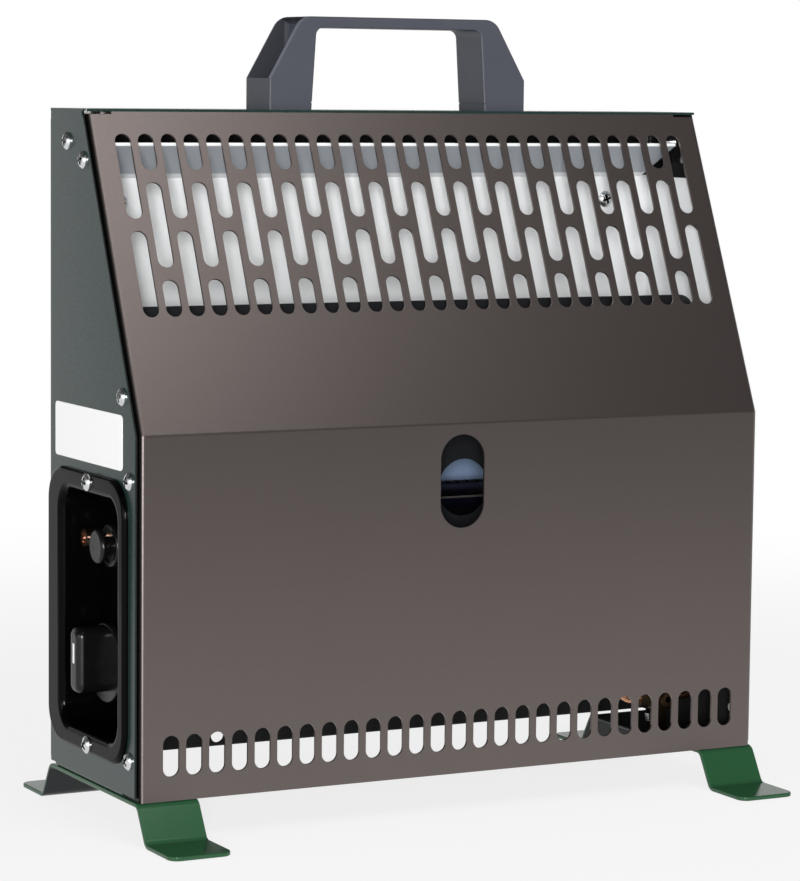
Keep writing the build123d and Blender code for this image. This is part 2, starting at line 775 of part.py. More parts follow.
def piezo_barrel():
    """Igniter barrel behind the recess, its neck through the floor and a terminal at its end."""
    y, z = control_shift, button_z
    back = x_behind
    end = back + barrel_length
    barrel = rod((back, y, z), (end, y, z), barrel_radius)
    barrel += rod((recess_x(land_height + nut_height - neck_step), y, z), (back, y, z), neck_radius)
    mouth = recess_x(nut_height + cap_lift)
    barrel -= rod((mouth, y, z), (end - barrel_bottom, y, z), stem_radius + stem_gap)
    return barrel + rod((end, y, z), (end + terminal_length, y, z), terminal_radius)


def piezo_nut():
    """Round nut on the igniter's neck."""
    y, z = control_shift, button_z
    nut = rod((recess_x(land_height), y, z), (recess_x(land_height + nut_height), y, z), nut_radius)
    nut = fillet(nut.edges().group_by(Axis.X)[0], neck_step)
    return nut - rod((recess_x(0), y, z), (recess_x(2 * nut_height), y, z), neck_radius + neck_gap)


def button_spring():
    """Return spring between the stem and the barrel's end."""
    y, z = control_shift, button_z
    start = recess_x(cap_lift) + stem_length + spring_seat
    end = x_behind + barrel_length - barrel_bottom - spring_seat
    return coil((start, y, z), end - start, button_spring_radius, button_spring_wire, button_spring_turns)


def test_nipple():
    """Brass test nipple that stands on the recess floor."""
    x, y, z = nipple_place()
    return rod((x, y, z), (x - nipple_height, y, z), nipple_radius, nipple_bore)


def nipple_plug():
    """Plug screw in the nipple's end, with a cross recess."""
    x, y, z = nipple_place()
    outer = x - nipple_height + nipple_plug_depth
    plug = rod((outer, y, z), (x + recess_wall, y, z), nipple_bore - fit_gap)
    slot = span(outer, outer + nipple_plug_depth, y - cross_width / 2, y + cross_width / 2,
                z - nipple_bore / 2, z + nipple_bore / 2)
    return plug - slot


def rating_label():
    """Blank label on the left side panel."""
    middle = z_bezel_top + label_gap + label_height / 2
    face = Plane(origin=(-side_outer, label_shift, middle), x_dir=(0, -1, 0), z_dir=(-1, 0, 0))
    return extrude(face * RectangleRounded(label_length, label_height, label_corner), amount=label_thickness)


def standoff_places():
    """Places of the stand-offs on the front face of the deflector's upright sheet."""
    sides = (standoff_left_inset - box_half, box_half - standoff_inset)
    heights = (z_step + standoff_lift, z_box_top - standoff_drop)
    return [(x, y_box, z) for x in sides for z in heights]


def heat_deflector():
    """Upright rear sheet of the hot box, bent forward at the top to throw the hot air out."""
    lip_z = z_top - lip_drop
    bend_z = lip_z - deflector_rise
    lip_y = front_y(lip_z + through, sheet + lip_gap)
    edge = box_half + sheet
    upright = span(-edge, edge, y_box, y_box_rear, z_step, bend_z)
    upright += span(x_step, edge, y_box, y_box_rear, z_box, z_step)
    lean = Vector(0, lip_y - y_box, lip_z - bend_z).normalized()
    rise = sheet / abs(lean.Y)
    roof = [(y_box_rear, bend_z - rise), (y_box_rear, bend_z), (lip_y, lip_z + rise), (lip_y, lip_z)]
    roof_half = box_half - deflector_inset
    upright += side_prism(roof, -roof_half, roof_half)
    return upright - holes(standoff_places(), (0, 1, 0))


def box_wall(side):
    """Side wall of the hot box, shorter on the left where the controls are."""
    floor = z_box if side > 0 else z_step + sheet
    front = max(y_plate - wall_lead, front_y(floor, box_front_gap))
    bend = z_knee + (front - y_front - box_front_gap / math.cos(slope)) / math.tan(slope)
    front_edge = [(front, floor), (front, bend), (front_y(z_box_top, box_front_gap), z_box_top)]
    outline = front_edge + [(y_box, z_box_top), (y_box, floor)]
    return side_prism(outline, side * box_half, side * (box_half + sheet))


def box_front():
    """Black front plate of the hot box, with the sight hole and tabs on the side walls."""
    edge = box_half - lap_gap
    top = z_base + plate_top
    outline = [(-edge, z_step), (-edge, top), (edge, top), (edge, z_box), (x_step, z_box), (x_step, z_step)]
    corners = [(x, y_plate, z) for x, z in outline]
    plate = prism(corners, (0, sheet, 0), [(corner, plate_corner) for corner in (1, 2)])
    tab_end = y_plate + plate_tab
    for side, low in ((-1, z_step + sheet + lap_gap), (1, z_box)):
        plate += span(side * (edge - sheet), side * edge, y_plate, tab_end, low, top - plate_corner)
    hole = (sight_hole_shift, y_plate, z_base + sight_hole_height)
    return plate - holes([hole], (0, 1, 0), sight_hole_radius)


def heat_step():
    """Stepped sheet between the hot box and the controls on the left."""
    front = y_plate + sheet + lap_gap
    rear = y_box - lap_gap
    ledge = span(-box_half - sheet, x_step, front, rear, z_step, z_step + sheet)
    return ledge + span(x_step - sheet, x_step, front, rear, z_box, z_step)


def burner_tube():
    """Burner tube with a row of flame ports and a closed left end."""
    y, z = y_burner, z_burner
    tube = rod((burner_left, y, z), (burner_right, y, z), burner_radius)
    tube -= rod((burner_left + burner_wall, y, z), (burner_right + sheet, y, z), burner_radius - burner_wall)
    pitch = (burner_right - burner_left) / (port_count + 4)
    top = z + burner_radius
    reach = port_depth / 2
    ports = []
    for index in range(port_count):
        x = burner_left + (index + 1.5) * pitch
        ports.append(span(x, x + port_width, y - reach, y + reach, top - port_reach, top + sheet))
    return tube - ports


def burner_tray():
    """Channel under the burner, open at the ends, with a lip in front and behind."""
    front = y_burner - tray_front
    rear = y_burner + tray_rear
    lip = z_burner + tray_lip
    left = x_step + lap_gap
    right = box_half - lap_gap
    tray = span(left, right, front, rear, z_tray, lip)
    tray -= span(left, right, front + sheet, rear - sheet, z_tray + sheet, lip + sheet)
    tray -= holes([(x_injector, y_burner, z_tray)], (0, 0, 1), pipe_radius + hole_gap)
    tray -= holes([(x_electrode, y_electrode, z_tray)], (0, 0, 1), electrode_radius + hole_gap)
    return tray - holes([(x_sensor, y_sensor, z_tray)], (0, 0, 1), sensor_radius + hole_gap)


def burner_brackets():
    """Two saddles that carry the burner on its tray."""
    y, z = y_burner, z_burner
    bore = rod((burner_left, y, z), (burner_right, y, z), burner_radius + fit_gap)
    saddles = []
    for x in (burner_left + bracket_inset, burner_right - bracket_inset):
        saddle = span(x, x + bracket_plate, y - burner_radius, y + burner_radius, z_tray + sheet, z)
        saddles.append(saddle - bore)
    return saddles


def injector_holder():
    """Brass block on the right wall of the hot box that feeds the jet."""
    y, z = y_burner, z_burner
    low = x_injector - injector_size / 2
    block = span(low, box_half - lap_gap, y - injector_size / 2, y + injector_size / 2,
                 z - injector_size / 2, z + injector_size / 2)
    block = fillet(block.edges().filter_by(Axis.X), sheet)
    bore = pipe_radius - pipe_wall
    block -= rod((x_injector, y, z - injector_size), (x_injector, y, z), bore)
    return block - rod((low - sheet, y, z), (x_injector, y, z), bore)


def gas_jet():
    """Tapered brass jet in front of the burner's open end."""
    y, z = y_burner, z_burner
    base = x_injector - injector_size / 2
    wide = Plane(origin=(base, y, z), z_dir=(-1, 0, 0))
    jet = loft([wide * Circle(jet_radius), wide.offset(jet_length) * Circle(jet_radius / 2)])
    return jet - rod((base + sheet, y, z), (base - 2 * jet_length, y, z), jet_bore)


def union_point():
    """Middle of the pipe union."""
    return side_inner - base_flange + union_inset, y_plate - union_shift, z_base + union_height


def gas_pipe():
    """Long copper pipe from the valve to the union."""
    x, y, z = union_point()
    jog_end = x - union_size - pipe_nut_length
    jog_start = jog_end - (z_pipe - z)
    points = [(x_valve_end, y_pipe, z_pipe), (jog_start, y_pipe, z_pipe), (jog_end, y, z),
              (x - union_size / 2, y, z)]
    return tube_along(points, pipe_radius, pipe_bend / 2, pipe_wall)


def riser_pipe():
    """Short copper pipe from the union up to the injector."""
    x, y, z = union_point()
    end = z_burner - injector_size / 2
    shelf = z_base + riser_bend_height
    riser = box_half - riser_inset
    points = [(x + union_size / 2, y, z), (riser, y, z), (riser, y, shelf),
              (x_injector, y_burner, (shelf + end) / 2), (x_injector, y_burner, end)]
    return tube_along(points, pipe_radius, pipe_bend / 2, pipe_wall)


def pipe_union():
    """Brass union block on a foot that stands on the right side panel's fold."""
    x, y, z = union_point()
    size = union_size / 2
    block = span(x - size, x + size, y - size, y + size, z - size, z + size)
    block = fillet(block.edges().filter_by(Axis.Z), sheet)
    block += rod((x, y - size, z), (x, y - size - union_port, z), union_port_radius)
    block -= rod((x, y, z), (x, y - size - 2 * union_port, z), pipe_radius - pipe_wall)
    return block + span(x - size / 2, x + size / 2, y - size / 2, y + size / 2, z_base + sheet, z - size)


def pipe_nuts():
    """Flare nuts at the ends of the two pipes."""
    x, y, z = union_point()
    size = union_size / 2
    full = pipe_nut_length
    runs = [(x_valve_end, full, y_pipe, z_pipe), (x - size - full, full, y, z), (x + size, full / 2, y, z)]
    bore = pipe_radius + fit_gap
    return [hexagon((start, y, z), (start + run, y, z), pipe_nut_radius, bore) for start, run, y, z in runs]


def inlet_place():
    """Middle of the gas inlet on the back panel."""
    return ((x_behind + x_valve_end) / 2, y_rear, knob_z)


def gas_inlet():
    """Brass inlet from the valve through the back panel, ending in a barbed hose tail."""
    x, y, z = inlet_place()
    start = control_shift + valve_depth / 2
    inlet = rod((x, start, z), (x, y_rear + inlet_nut_height + sheet, z), inlet_radius)
    inlet += hexagon((x, y_back_front - inlet_nut_height, z), (x, y_back_front, z), inlet_hex, inlet_bore)
    tail = y_rear + inlet_nut_height + sheet
    inlet += rod((x, tail, z), (x, tail + inlet_tail_length, z), inlet_tail_radius)
    for barb in (1, 2, 3):
        y_barb = tail + inlet_tail_length * barb / 4
        ring = Plane(origin=(x, y_barb, z), z_dir=(0, 1, 0))
        inlet += loft([ring * Circle(inlet_tail_radius + sheet / 2),
                       ring.offset(inlet_tail_length / 6) * Circle(inlet_tail_radius)])
    return inlet - rod((x, start - sheet, z), (x, tail + 2 * inlet_tail_length, z), inlet_bore)


def inlet_nut():
    """Lock nut of the inlet, on the outside of the back panel."""
    x, y, z = inlet_place()
    outer = y_back_rear + inlet_nut_height
    return hexagon((x, y_back_rear, z), (x, outer, z), inlet_hex, inlet_radius + fit_gap)


def spark_electrode():
    """Ceramic igniter rod through the tray, with its steel tip."""
    x, y = x_electrode, y_electrode
    low = z_lead_end
    rod_end = low + electrode_length
    ceramic = rod((x, y, low), (x, y, rod_end), electrode_radius)
    collar_low = z_tray + sheet
    ceramic += rod((x, y, collar_low), (x, y, collar_low + sheet), electrode_radius + sheet)
    return ceramic + rod((x, y, rod_end), (x, y, rod_end + electrode_tip), lead_radius / 2)


def thermocouple():
    """Flame sensor rod through the tray."""
    x, y = x_sensor, y_sensor
    low = z_lead_end
    sensor = rod((x, y, low), (x, y, low + sensor_length), sensor_radius)
    collar_low = z_tray + sheet
    return sensor + rod((x, y, collar_low), (x, y, collar_low + sheet), sensor_radius + sheet)


def ignition_lead():
    """Lead from the igniter's terminal under the heat step to the electrode."""
    y, z = control_shift, button_z
    start = x_behind + barrel_length + terminal_length
    under = z - lead_drop
    down = start + lead_start
    points = [(start, y, z), (down, y, z), (down, y, under), (x_electrode, y_electrode, under),
              (x_electrode, y_electrode, z_lead_end)]
    return tube_along(points, lead_radius, lead_bend)


def sensor_lead():
    """Lead from the valve's safety magnet to the flame sensor."""
    z = knob_z
    start = (x_valve_end, control_shift + magnet_shift, z)
    points = [start, (x_sensor, y_sensor, z), (x_sensor, y_sensor, z_lead_end)]
    return tube_along(points, lead_radius, 2 * lead_bend)


def standoffs():
    """Tubes between the back panel and the deflector."""
    places = standoff_places()
    return [rod((x, y_box_rear, z), (x, y_back_front, z), standoff_radius, screw_hole) for x, _, z in places]


right_spots = [(side_outer, y, z) for y, z in edge_screws()]
left_spots = [(-side_outer, y, z) for y, z in edge_screws()]
bezel_spots = [(-side_outer - bezel_proud, 0, z) for z in recess_screw_heights()]
long_screw = pan_screw(standoff_length + screw_length / 2)
handle_screw = pan_screw(sheet + handle_screw_depth - screw_length / 2)

nodes = {
    "front_panel": front_panel(),
    "left_side_panel": left_side_panel(),
    "right_side_panel": right_side_panel(),
    "back_panel": back_panel(),
    "top_plate": top_plate(),
    "left_top_bracket": top_bracket(-1),
    "right_top_bracket": top_bracket(1),
    "left_foot_strap": foot_strap(-1),
    "right_foot_strap": foot_strap(1),
    "carry_handle": carry_handle(),
    "left_side_screws": placed(pan_screw(), left_spots, (-1, 0, 0)),
    "right_side_screws": placed(pan_screw(), right_spots, (1, 0, 0)),
    "back_screws": placed(pan_screw(), rear_screws(), (0, 1, 0)),
    "foot_screws": placed(pan_screw(), strap_screws(), (0, 0, -1)),
    "handle_screws": placed(handle_screw, handle_screw_places(), (0, 0, -1)),
    "recess_screws": placed(pan_screw(), bezel_spots, (-1, 0, 0)),
    "control_recess": control_recess(),
    "control_knob": control_knob(),
    "knob_pointer": pointer_block(0),
    "valve_body": valve_body(),
    "valve_plunger": valve_plunger(),
    "valve_spindle": valve_spindle(),
    "valve_spring": valve_spring(),
    "piezo_button": piezo_button(),
    "piezo_barrel": piezo_barrel(),
    "piezo_nut": piezo_nut(),
    "button_spring": button_spring(),
    "test_nipple": test_nipple(),
    "nipple_plug": nipple_plug(),
    "rating_label": rating_label(),
    "heat_deflector": heat_deflector(),
    "left_box_wall": box_wall(-1),
    "right_box_wall": box_wall(1),
    "box_front": box_front(),
    "heat_step": heat_step(),
    "deflector_standoffs": standoffs(),
    "deflector_screws": placed(long_screw, standoff_places(), (0, -1, 0)),
    "burner_tube": burner_tube(),
    "burner_tray": burner_tray(),
    "burner_brackets": burner_brackets(),
    "injector_holder": injector_holder(),
    "gas_jet": gas_jet(),
    "gas_pipe": gas_pipe(),
    "riser_pipe": riser_pipe(),
    "pipe_union": pipe_union(),
    "pipe_nuts": pipe_nuts(),
    "gas_inlet": gas_inlet(),
    "inlet_nut": inlet_nut(),
    "spark_electrode": spark_electrode(),
    "ignition_lead": ignition_lead(),
    "thermocouple": thermocouple(),
    "sensor_lead": sensor_lead(),
}

os.makedirs("parts", exist_ok=True)
for name, shape in nodes.items():
    pieces = shape if isinstance(shape, list) else [shape]
    solids = [solid for piece in pieces for solid in piece.solids()]
    export_step(solids[0] if len(solids) == 1 else Compound(solids), "parts/" + name + ".step")
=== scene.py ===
"""Looks of a portable camping heater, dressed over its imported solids.

Every size is in metres, in the frame of the solids: +Z up, the slotted front towards -Y.
"""

import logging
import math
from dataclasses import dataclass, field, replace
from enum import Enum
from typing import Any, Mapping, Sequence, Union

import bmesh
import bpy
from mathutils import Matrix, Vector


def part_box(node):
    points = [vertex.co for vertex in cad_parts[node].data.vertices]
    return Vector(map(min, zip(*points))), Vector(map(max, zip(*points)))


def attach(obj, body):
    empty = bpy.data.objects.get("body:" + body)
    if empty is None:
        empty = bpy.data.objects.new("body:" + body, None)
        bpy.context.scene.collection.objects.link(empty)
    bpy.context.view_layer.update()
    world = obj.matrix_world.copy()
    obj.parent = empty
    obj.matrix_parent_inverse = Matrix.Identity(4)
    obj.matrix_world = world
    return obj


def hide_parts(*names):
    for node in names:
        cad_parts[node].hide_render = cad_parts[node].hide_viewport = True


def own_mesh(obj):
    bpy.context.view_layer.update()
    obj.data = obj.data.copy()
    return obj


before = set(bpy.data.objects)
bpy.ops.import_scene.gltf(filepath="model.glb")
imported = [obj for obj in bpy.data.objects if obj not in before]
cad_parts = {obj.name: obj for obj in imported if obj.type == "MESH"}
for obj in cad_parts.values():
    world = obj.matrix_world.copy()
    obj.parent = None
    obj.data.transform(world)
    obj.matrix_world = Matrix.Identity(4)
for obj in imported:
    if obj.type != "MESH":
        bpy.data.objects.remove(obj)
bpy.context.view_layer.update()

LOG = logging.getLogger("camping_heater")
MM = 0.001
MERGE_GAP = 1e-6
WHITE = (1.0, 1.0, 1.0)
BODY = "casing"
SMOOTH_ANGLE = math.radians(32.0)
SORT_DIGITS = 5
NOISE_MIDDLE = 0.5

Colour = tuple[float, float, float]
Place = tuple[float, float, float]
Operand = Union["Term", float, int]


class MathOp(Enum):
    """The Math node's operations that expressions use."""

    ADD = "ADD"
    SUBTRACT = "SUBTRACT"
    MULTIPLY = "MULTIPLY"
    DIVIDE = "DIVIDE"
    POWER = "POWER"


class Ramp(Enum):
    """How a rise goes from 0 to 1."""

    SMOOTH = "SMOOTHSTEP"
    EVEN = "LINEAR"


class Facing(Enum):
    """The way a screw head points, as a unit vector."""

    LEFT = (-1.0, 0.0, 0.0)
    RIGHT = (1.0, 0.0, 0.0)
    FRONT = (0.0, -1.0, 0.0)
    REAR = (0.0, 1.0, 0.0)
    DOWN = (0.0, 0.0, -1.0)


class Term:
    """A value socket that takes part in Python expressions: each operator adds a Math node."""

    def __init__(self, graph: "NodeGraph", socket: bpy.types.NodeSocket) -> None:
        """Wraps a socket of a graph."""
        self.graph = graph
        self.socket = socket

    def _math(self, operation: MathOp, first: Operand, second: Operand) -> "Term":
        """Adds a Math node.

        Args:
            operation: what the node works out.
            first: the left-hand value.
            second: the right-hand value.

        Returns:
            The node's result.
        """
        node = self.graph.node("ShaderNodeMath", {"operation": operation.value}, {0: first, 1: second})
        return Term(self.graph, node.outputs[0])

    def __add__(self, other: Operand) -> "Term":
        """self + other."""
        return self._math(MathOp.ADD, self, other)

    def __radd__(self, other: Operand) -> "Term":
        """other + self."""
        return self._math(MathOp.ADD, other, self)

    def __sub__(self, other: Operand) -> "Term":
        """self - other."""
        return self._math(MathOp.SUBTRACT, self, other)

    def __rsub__(self, other: Operand) -> "Term":
        """other - self."""
        return self._math(MathOp.SUBTRACT, other, self)

    def __mul__(self, other: Operand) -> "Term":
        """self * other."""
        return self._math(MathOp.MULTIPLY, self, other)

    def __truediv__(self, other: Operand) -> "Term":
        """self / other."""
        return self._math(MathOp.DIVIDE, self, other)

    def __pow__(self, other: Operand) -> "Term":
        """self ** other."""
        return self._math(MathOp.POWER, self, other)


class NodeGraph:
    """A node tree with one method that adds nodes, and vectors made with it."""

    def __init__(self, tree: bpy.types.NodeTree) -> None:
        """Empties the tree and keeps it."""
        self.tree = tree
        self.tree.nodes.clear()

    def node(self, kind: str, settings: Mapping[str, Any] | None = None,
             inputs: Mapping[Any, Any] | None = None) -> bpy.types.Node:
        """Adds a node, sets its settings, then feeds its sockets.

        Args:
            kind: the node's type.
            settings: attributes of the node.
            inputs: values, terms or sockets, by socket name or index; a list feeds one socket several times.

        Returns:
            The new node.
        """
        node = self.tree.nodes.new(kind)
        for name, value in (settings or {}).items():
            setattr(node, name, value)
        for key, value in (inputs or {}).items():
            for item in value if isinstance(value, list) else [value]:
                self._feed(node.inputs[key], item)
        return node

    def _feed(self, socket: bpy.types.NodeSocket, value: Any) -> None:
        """Links or sets one socket.

        Args:
            socket: the socket that is fed.
            value: a term, another socket, a colour of three values, or a plain value.
        """
        if isinstance(value, Term):
            self.tree.links.new(value.socket, socket)
        elif isinstance(value, bpy.types.NodeSocket):
            self.tree.links.new(value, socket)
        elif socket.type == "RGBA":
            socket.default_value = (*value[:3], 1.0)
        else:
            socket.default_value = value

    def axes(self, vector: bpy.types.NodeSocket) -> dict[str, Term]:
        """The values of a vector, by axis: X, Y and Z."""
        split = self.node("ShaderNodeSeparateXYZ", {}, {"Vector": vector}).outputs
        return {name: Term(self, split[name]) for name in "XYZ"}

    def vector(self, x: Operand = 0.0, y: Operand = 0.0, z: Operand = 0.0) -> bpy.types.NodeSocket:
        """The vector of three values."""
        return self.node("ShaderNodeCombineXYZ", {}, {"X": x, "Y": y, "Z": z}).outputs["Vector"]


class SurfaceGraph(NodeGraph):
    """A material's nodes, with the textures that the finishes share."""

    def __init__(self, name: str) -> None:
        """Starts a material.

        Args:
            name: the material's name.
        """
        self.material = bpy.data.materials.new(name)
        self.material.use_nodes = True
        super().__init__(self.material.node_tree)
        self.place = self.node("ShaderNodeTexCoord").outputs["Object"]

    def noise(self, size: float, detail: float = 2.0, stretch: Place | None = None) -> Term:
        """Soft noise.

        Args:
            size: the width of its largest patches.
            detail: how many finer layers it has.
            stretch: factors on the coordinates along each axis; a small one draws the pattern out.

        Returns:
            A value about 0.5, between 0 and 1.
        """
        place = self.place
        if stretch:
            place = self.node("ShaderNodeMapping", {"vector_type": "POINT"}, {
                "Vector": place, "Scale": stretch}).outputs["Vector"]
        node = self.node("ShaderNodeTexNoise", {}, {"Vector": place, "Scale": 1.0 / size, "Detail": detail})
        return Term(self, node.outputs["Fac"])

    def _voronoi(self, feature: str, size: float) -> bpy.types.NodeOutputs:
        """The outputs of a cell texture, by what it measures and the size of its cells."""
        return self.node("ShaderNodeTexVoronoi", {"feature": feature}, {
            "Vector": self.place, "Scale": 1.0 / size}).outputs

    def cells(self, size: float) -> Term:
        """An even random value for each cell of that size, between 0 and 1."""
        split = self.node("ShaderNodeSeparateColor", {}, {"Color": self._voronoi("F1", size)["Color"]})
        return Term(self, split.outputs["Red"])

    def dimples(self, size: float) -> Term:
        """The distance to the middle of each cell of that size, for grained surfaces."""
        return Term(self, self._voronoi("SMOOTH_F1", size)["Distance"])

    def rise(self, value: Term, start: float, end: float, ramp: Ramp = Ramp.SMOOTH) -> Term:
        """A rise from 0 to 1.

        Args:
            value: what it follows.
            start: where it is still 0.
            end: from where it is 1.
            ramp: how it goes up between them.

        Returns:
            The share, between 0 and 1.
        """
        node = self.node("ShaderNodeMapRange", {"interpolation_type": ramp.value}, {
            "Value": value, "From Min": start, "From Max": end})
        return Term(self, node.outputs["Result"])

    def marked(self, name: str) -> Term:
        """The share that a mesh attribute gives, 0 on a mesh without it."""
        node = self.node("ShaderNodeAttribute", {"attribute_type": "GEOMETRY", "attribute_name": name})
        return Term(self, node.outputs["Fac"])

    def axis(self, name: str) -> Term:
        """One Object coordinate: X, Y or Z."""
        return self.axes(self.place)[name]

    def off_plane(self, name: str, middle: float = 0.0) -> Term:
        """The distance along one axis from the plane across it at middle."""
        off = self.axis(name) - middle
        return (off * off) ** 0.5

    def blend(self, factor: Operand, first: Any, second: Any) -> bpy.types.NodeSocket:
        """Mixes two colours.

        Args:
            factor: 0 gives the first, 1 the second.
            first: a colour or a colour socket.
            second: a colour or a colour socket.

        Returns:
            The mixed colour.
        """
        return self.node("ShaderNodeMix", {"data_type": "RGBA"}, {0: factor, 6: first, 7: second}).outputs[2]

    def uneven(self, noise: Term, colour: Colour, spread: float) -> bpy.types.NodeSocket:
        """A colour that noise makes darker and lighter by up to that share."""
        return self.blend(noise, shade(colour, 1.0 - spread), shade(colour, 1.0 + spread))

    def tints(self, value: Term, stops: Sequence[tuple[float, Colour]]) -> bpy.types.NodeSocket:
        """The colours of a ramp.

        Args:
            value: what the ramp follows.
            stops: the ramp's places and colours, in order.

        Returns:
            The colour at the value, mixed evenly between two stops.
        """
        colour = stops[0][1]
        for (start, _), (end, tint) in zip(stops, stops[1:]):
            colour = self.blend(self.rise(value, start, end, Ramp.EVEN), colour, tint)
        return colour

    def bump(self, height: Term, distance: float) -> bpy.types.NodeSocket:
        """Raises the surface.

        Args:
            height: from 0 to 1.
            distance: how high 1 stands.

        Returns:
            The normal.
        """
        node = self.node("ShaderNodeBump", {}, {"Height": height, "Distance": distance, "Strength": 1.0})
        return node.outputs["Normal"]

    def surface(self, inputs: Mapping[str, Any]) -> bpy.types.Material:
        """Ends the material in a Principled shader.

        Args:
            inputs: the shader's values and links, by socket name.

        Returns:
            The finished material.
        """
        shader = self.node("ShaderNodeBsdfPrincipled", {}, inputs)
        self.node("ShaderNodeOutputMaterial", {}, {"Surface": shader.outputs["BSDF"]})
        return self.material


def shade(colour: Colour, factor: float) -> Colour:
    """A colour made lighter or darker by a factor."""
    return tuple(min(1.0, channel * factor) for channel in colour)


def about(middle: Operand, noise: Term, spread: float) -> Term:
    """A value that noise between 0 and 1 spreads about its middle."""
    return middle + (noise - NOISE_MIDDLE) * spread


@dataclass(frozen=True)
class ShadedUnderside:
    """The lower side of a strap that steps down to the floor at both ends, told by its place; it gets painted
    shade.
    """

    high: float
    low: float
    step_from: float
    bend_from: float
    bend_to: float
    leg_share: float
    skin: float = 0.8 * MM
    ramp: float = 0.15 * MM

    def mask(self, graph: SurfaceGraph) -> Term:
        """A term that is 1 on the lower face, which lies past skin below the middle of the sheet and gets
        painted shade.

        Args:
            graph: the material's graph.

        Returns:
            The term.
        """
        out = graph.off_plane("Y")
        leg = graph.rise(out, self.step_from, self.bend_from, Ramp.EVEN)
        bend = graph.rise(out, self.bend_from, self.bend_to, Ramp.EVEN)
        down = leg * self.leg_share + bend * (1.0 - self.leg_share)
        middle = self.high + down * (self.low - self.high)
        return 1.0 - graph.rise(graph.axis("Z") - middle, -self.skin - self.ramp, -self.skin)


@dataclass(frozen=True)
class ShadedLining:
    """The dull inner faces of folded sheets, which lie deeper than a skin under their outer faces, and get
    painted shade.
    """

    half_width: float
    rear: float
    foot: float
    skin: float
    roughness: float = 0.9
    ramp: float = 0.3 * MM

    def mask(self, graph: SurfaceGraph) -> Term:
        """Where the inner faces with painted shade are.

        Args:
            graph: the material's graph.

        Returns:
            A term that is 1 on the inner faces and 0 at the sides, the rear and the foot.
        """
        beside, behind = self.half_width - self.skin, self.rear - self.skin
        outer_side = graph.rise(graph.off_plane("X"), beside, beside + self.ramp)
        outer_rear = graph.rise(graph.axis("Y"), behind, behind + self.ramp)
        raised = graph.rise(graph.axis("Z"), self.foot + self.skin - self.ramp, self.foot + self.skin)
        return (1.0 - outer_side) * (1.0 - outer_rear) * raised


@dataclass(frozen=True)
class PowderCoat:
    """Baked paint on sheet steel: fine orange peel, small flakes and a faint unevenness of tone."""

    name: str
    colour: Colour
    flake_colour: Colour
    roughness: float = 0.36
    metallic: float = 0.0
    specular: float = 0.5
    flake_share: float = 0.25
    flake_size: float = 0.45 * MM
    flake_rarity: float = 5.0
    cloud_size: float = 60 * MM
    cloud: float = 0.06
    peel_size: float = 1.6 * MM
    peel_height: float = 0.012 * MM
    fine_share: float = 0.25
    rough_spread: float = 0.08
    # Colour of the painted shade on the fold, on shaded undersides and on shaded linings.
    painted_shade_colour: Colour = (0.004, 0.004, 0.004)
    fold_edge: float | None = None
    fold_ramp: float = 1.1 * MM
    shaded_underside: ShadedUnderside | None = None
    shaded_lining: ShadedLining | None = None

    def material(self) -> bpy.types.Material:
        """Builds the paint; past fold_edge along X, on a shaded underside and on a shaded lining it gets near
        black painted shade.

        Returns:
            The paint's material.
        """
        graph = SurfaceGraph(self.name)
        cloud = graph.noise(self.cloud_size, detail=3.0)
        flake = graph.cells(self.flake_size) ** self.flake_rarity * self.flake_share
        base = graph.blend(flake, graph.uneven(cloud, self.colour, self.cloud), self.flake_colour)
        # Past fold_edge the folded flange is painted near black: painted shade for the gap beside the side
        # sheets.
        if self.fold_edge is not None:
            fold_shade = graph.rise(graph.off_plane("X"), self.fold_edge - self.fold_ramp, self.fold_edge)
            base = graph.blend(fold_shade, base, self.painted_shade_colour)
        # The strap's lower faces get near black painted shade.
        if self.shaded_underside is not None:
            base = graph.blend(self.shaded_underside.mask(graph), base, self.painted_shade_colour)
        peel = graph.noise(self.peel_size, detail=1.0)
        fine = graph.noise(self.peel_size * self.fine_share, detail=1.0)
        rough = about(self.roughness, fine, self.rough_spread)
        # Inner faces get near black painted shade and a rougher finish.
        if self.shaded_lining is not None:
            inner = self.shaded_lining.mask(graph)
            base = graph.blend(inner, base, self.painted_shade_colour)
            rough = rough + inner * (self.shaded_lining.roughness - self.roughness)
        return graph.surface({
            "Base Color": base,
            "Roughness": rough,
            "Metallic": self.metallic,
            "Specular IOR Level": self.specular,
            "Normal": graph.bump(peel, self.peel_height),
        })


@dataclass(frozen=True)
class Hollow:
    """The two open ends of a hollow moulding, told by their place, with painted shade inside and a painted
    highlight on the rims.
    """

    middle_y: float
    half_depth: float
    wall: float
    from_x: float
    from_z: float
    # Factors for the painted shade inside the ends and the painted highlight on their rims.
    shadow: float = 0.45
    rim_highlight: float = 2.2
    rim_inset: float = 0.2 * MM
    ramp: float = 0.1 * MM

    def masks(self, graph: SurfaceGraph) -> tuple[Term, Term]:
        """Where the painted shade inside the ends goes, and where the painted highlight on their rims goes.

        Args:
            graph: the material's graph.

        Returns:
            A term that is 1 inside the ends and a term that is 1 on the rims.
        """
        off = graph.off_plane("Y", self.middle_y)
        ends = graph.rise(graph.off_plane("X"), self.from_x, self.from_x + self.ramp)
        ends = ends * graph.rise(graph.axis("Z"), self.from_z, self.from_z + self.ramp)
        inner, outer = self.half_depth - self.wall, self.half_depth - self.rim_inset
        on_rim = graph.rise(off, inner, inner + self.ramp)
        past_rim = graph.rise(off, outer - self.ramp, outer)
        return ends * (1.0 - on_rim), ends * on_rim * (1.0 - past_rim)


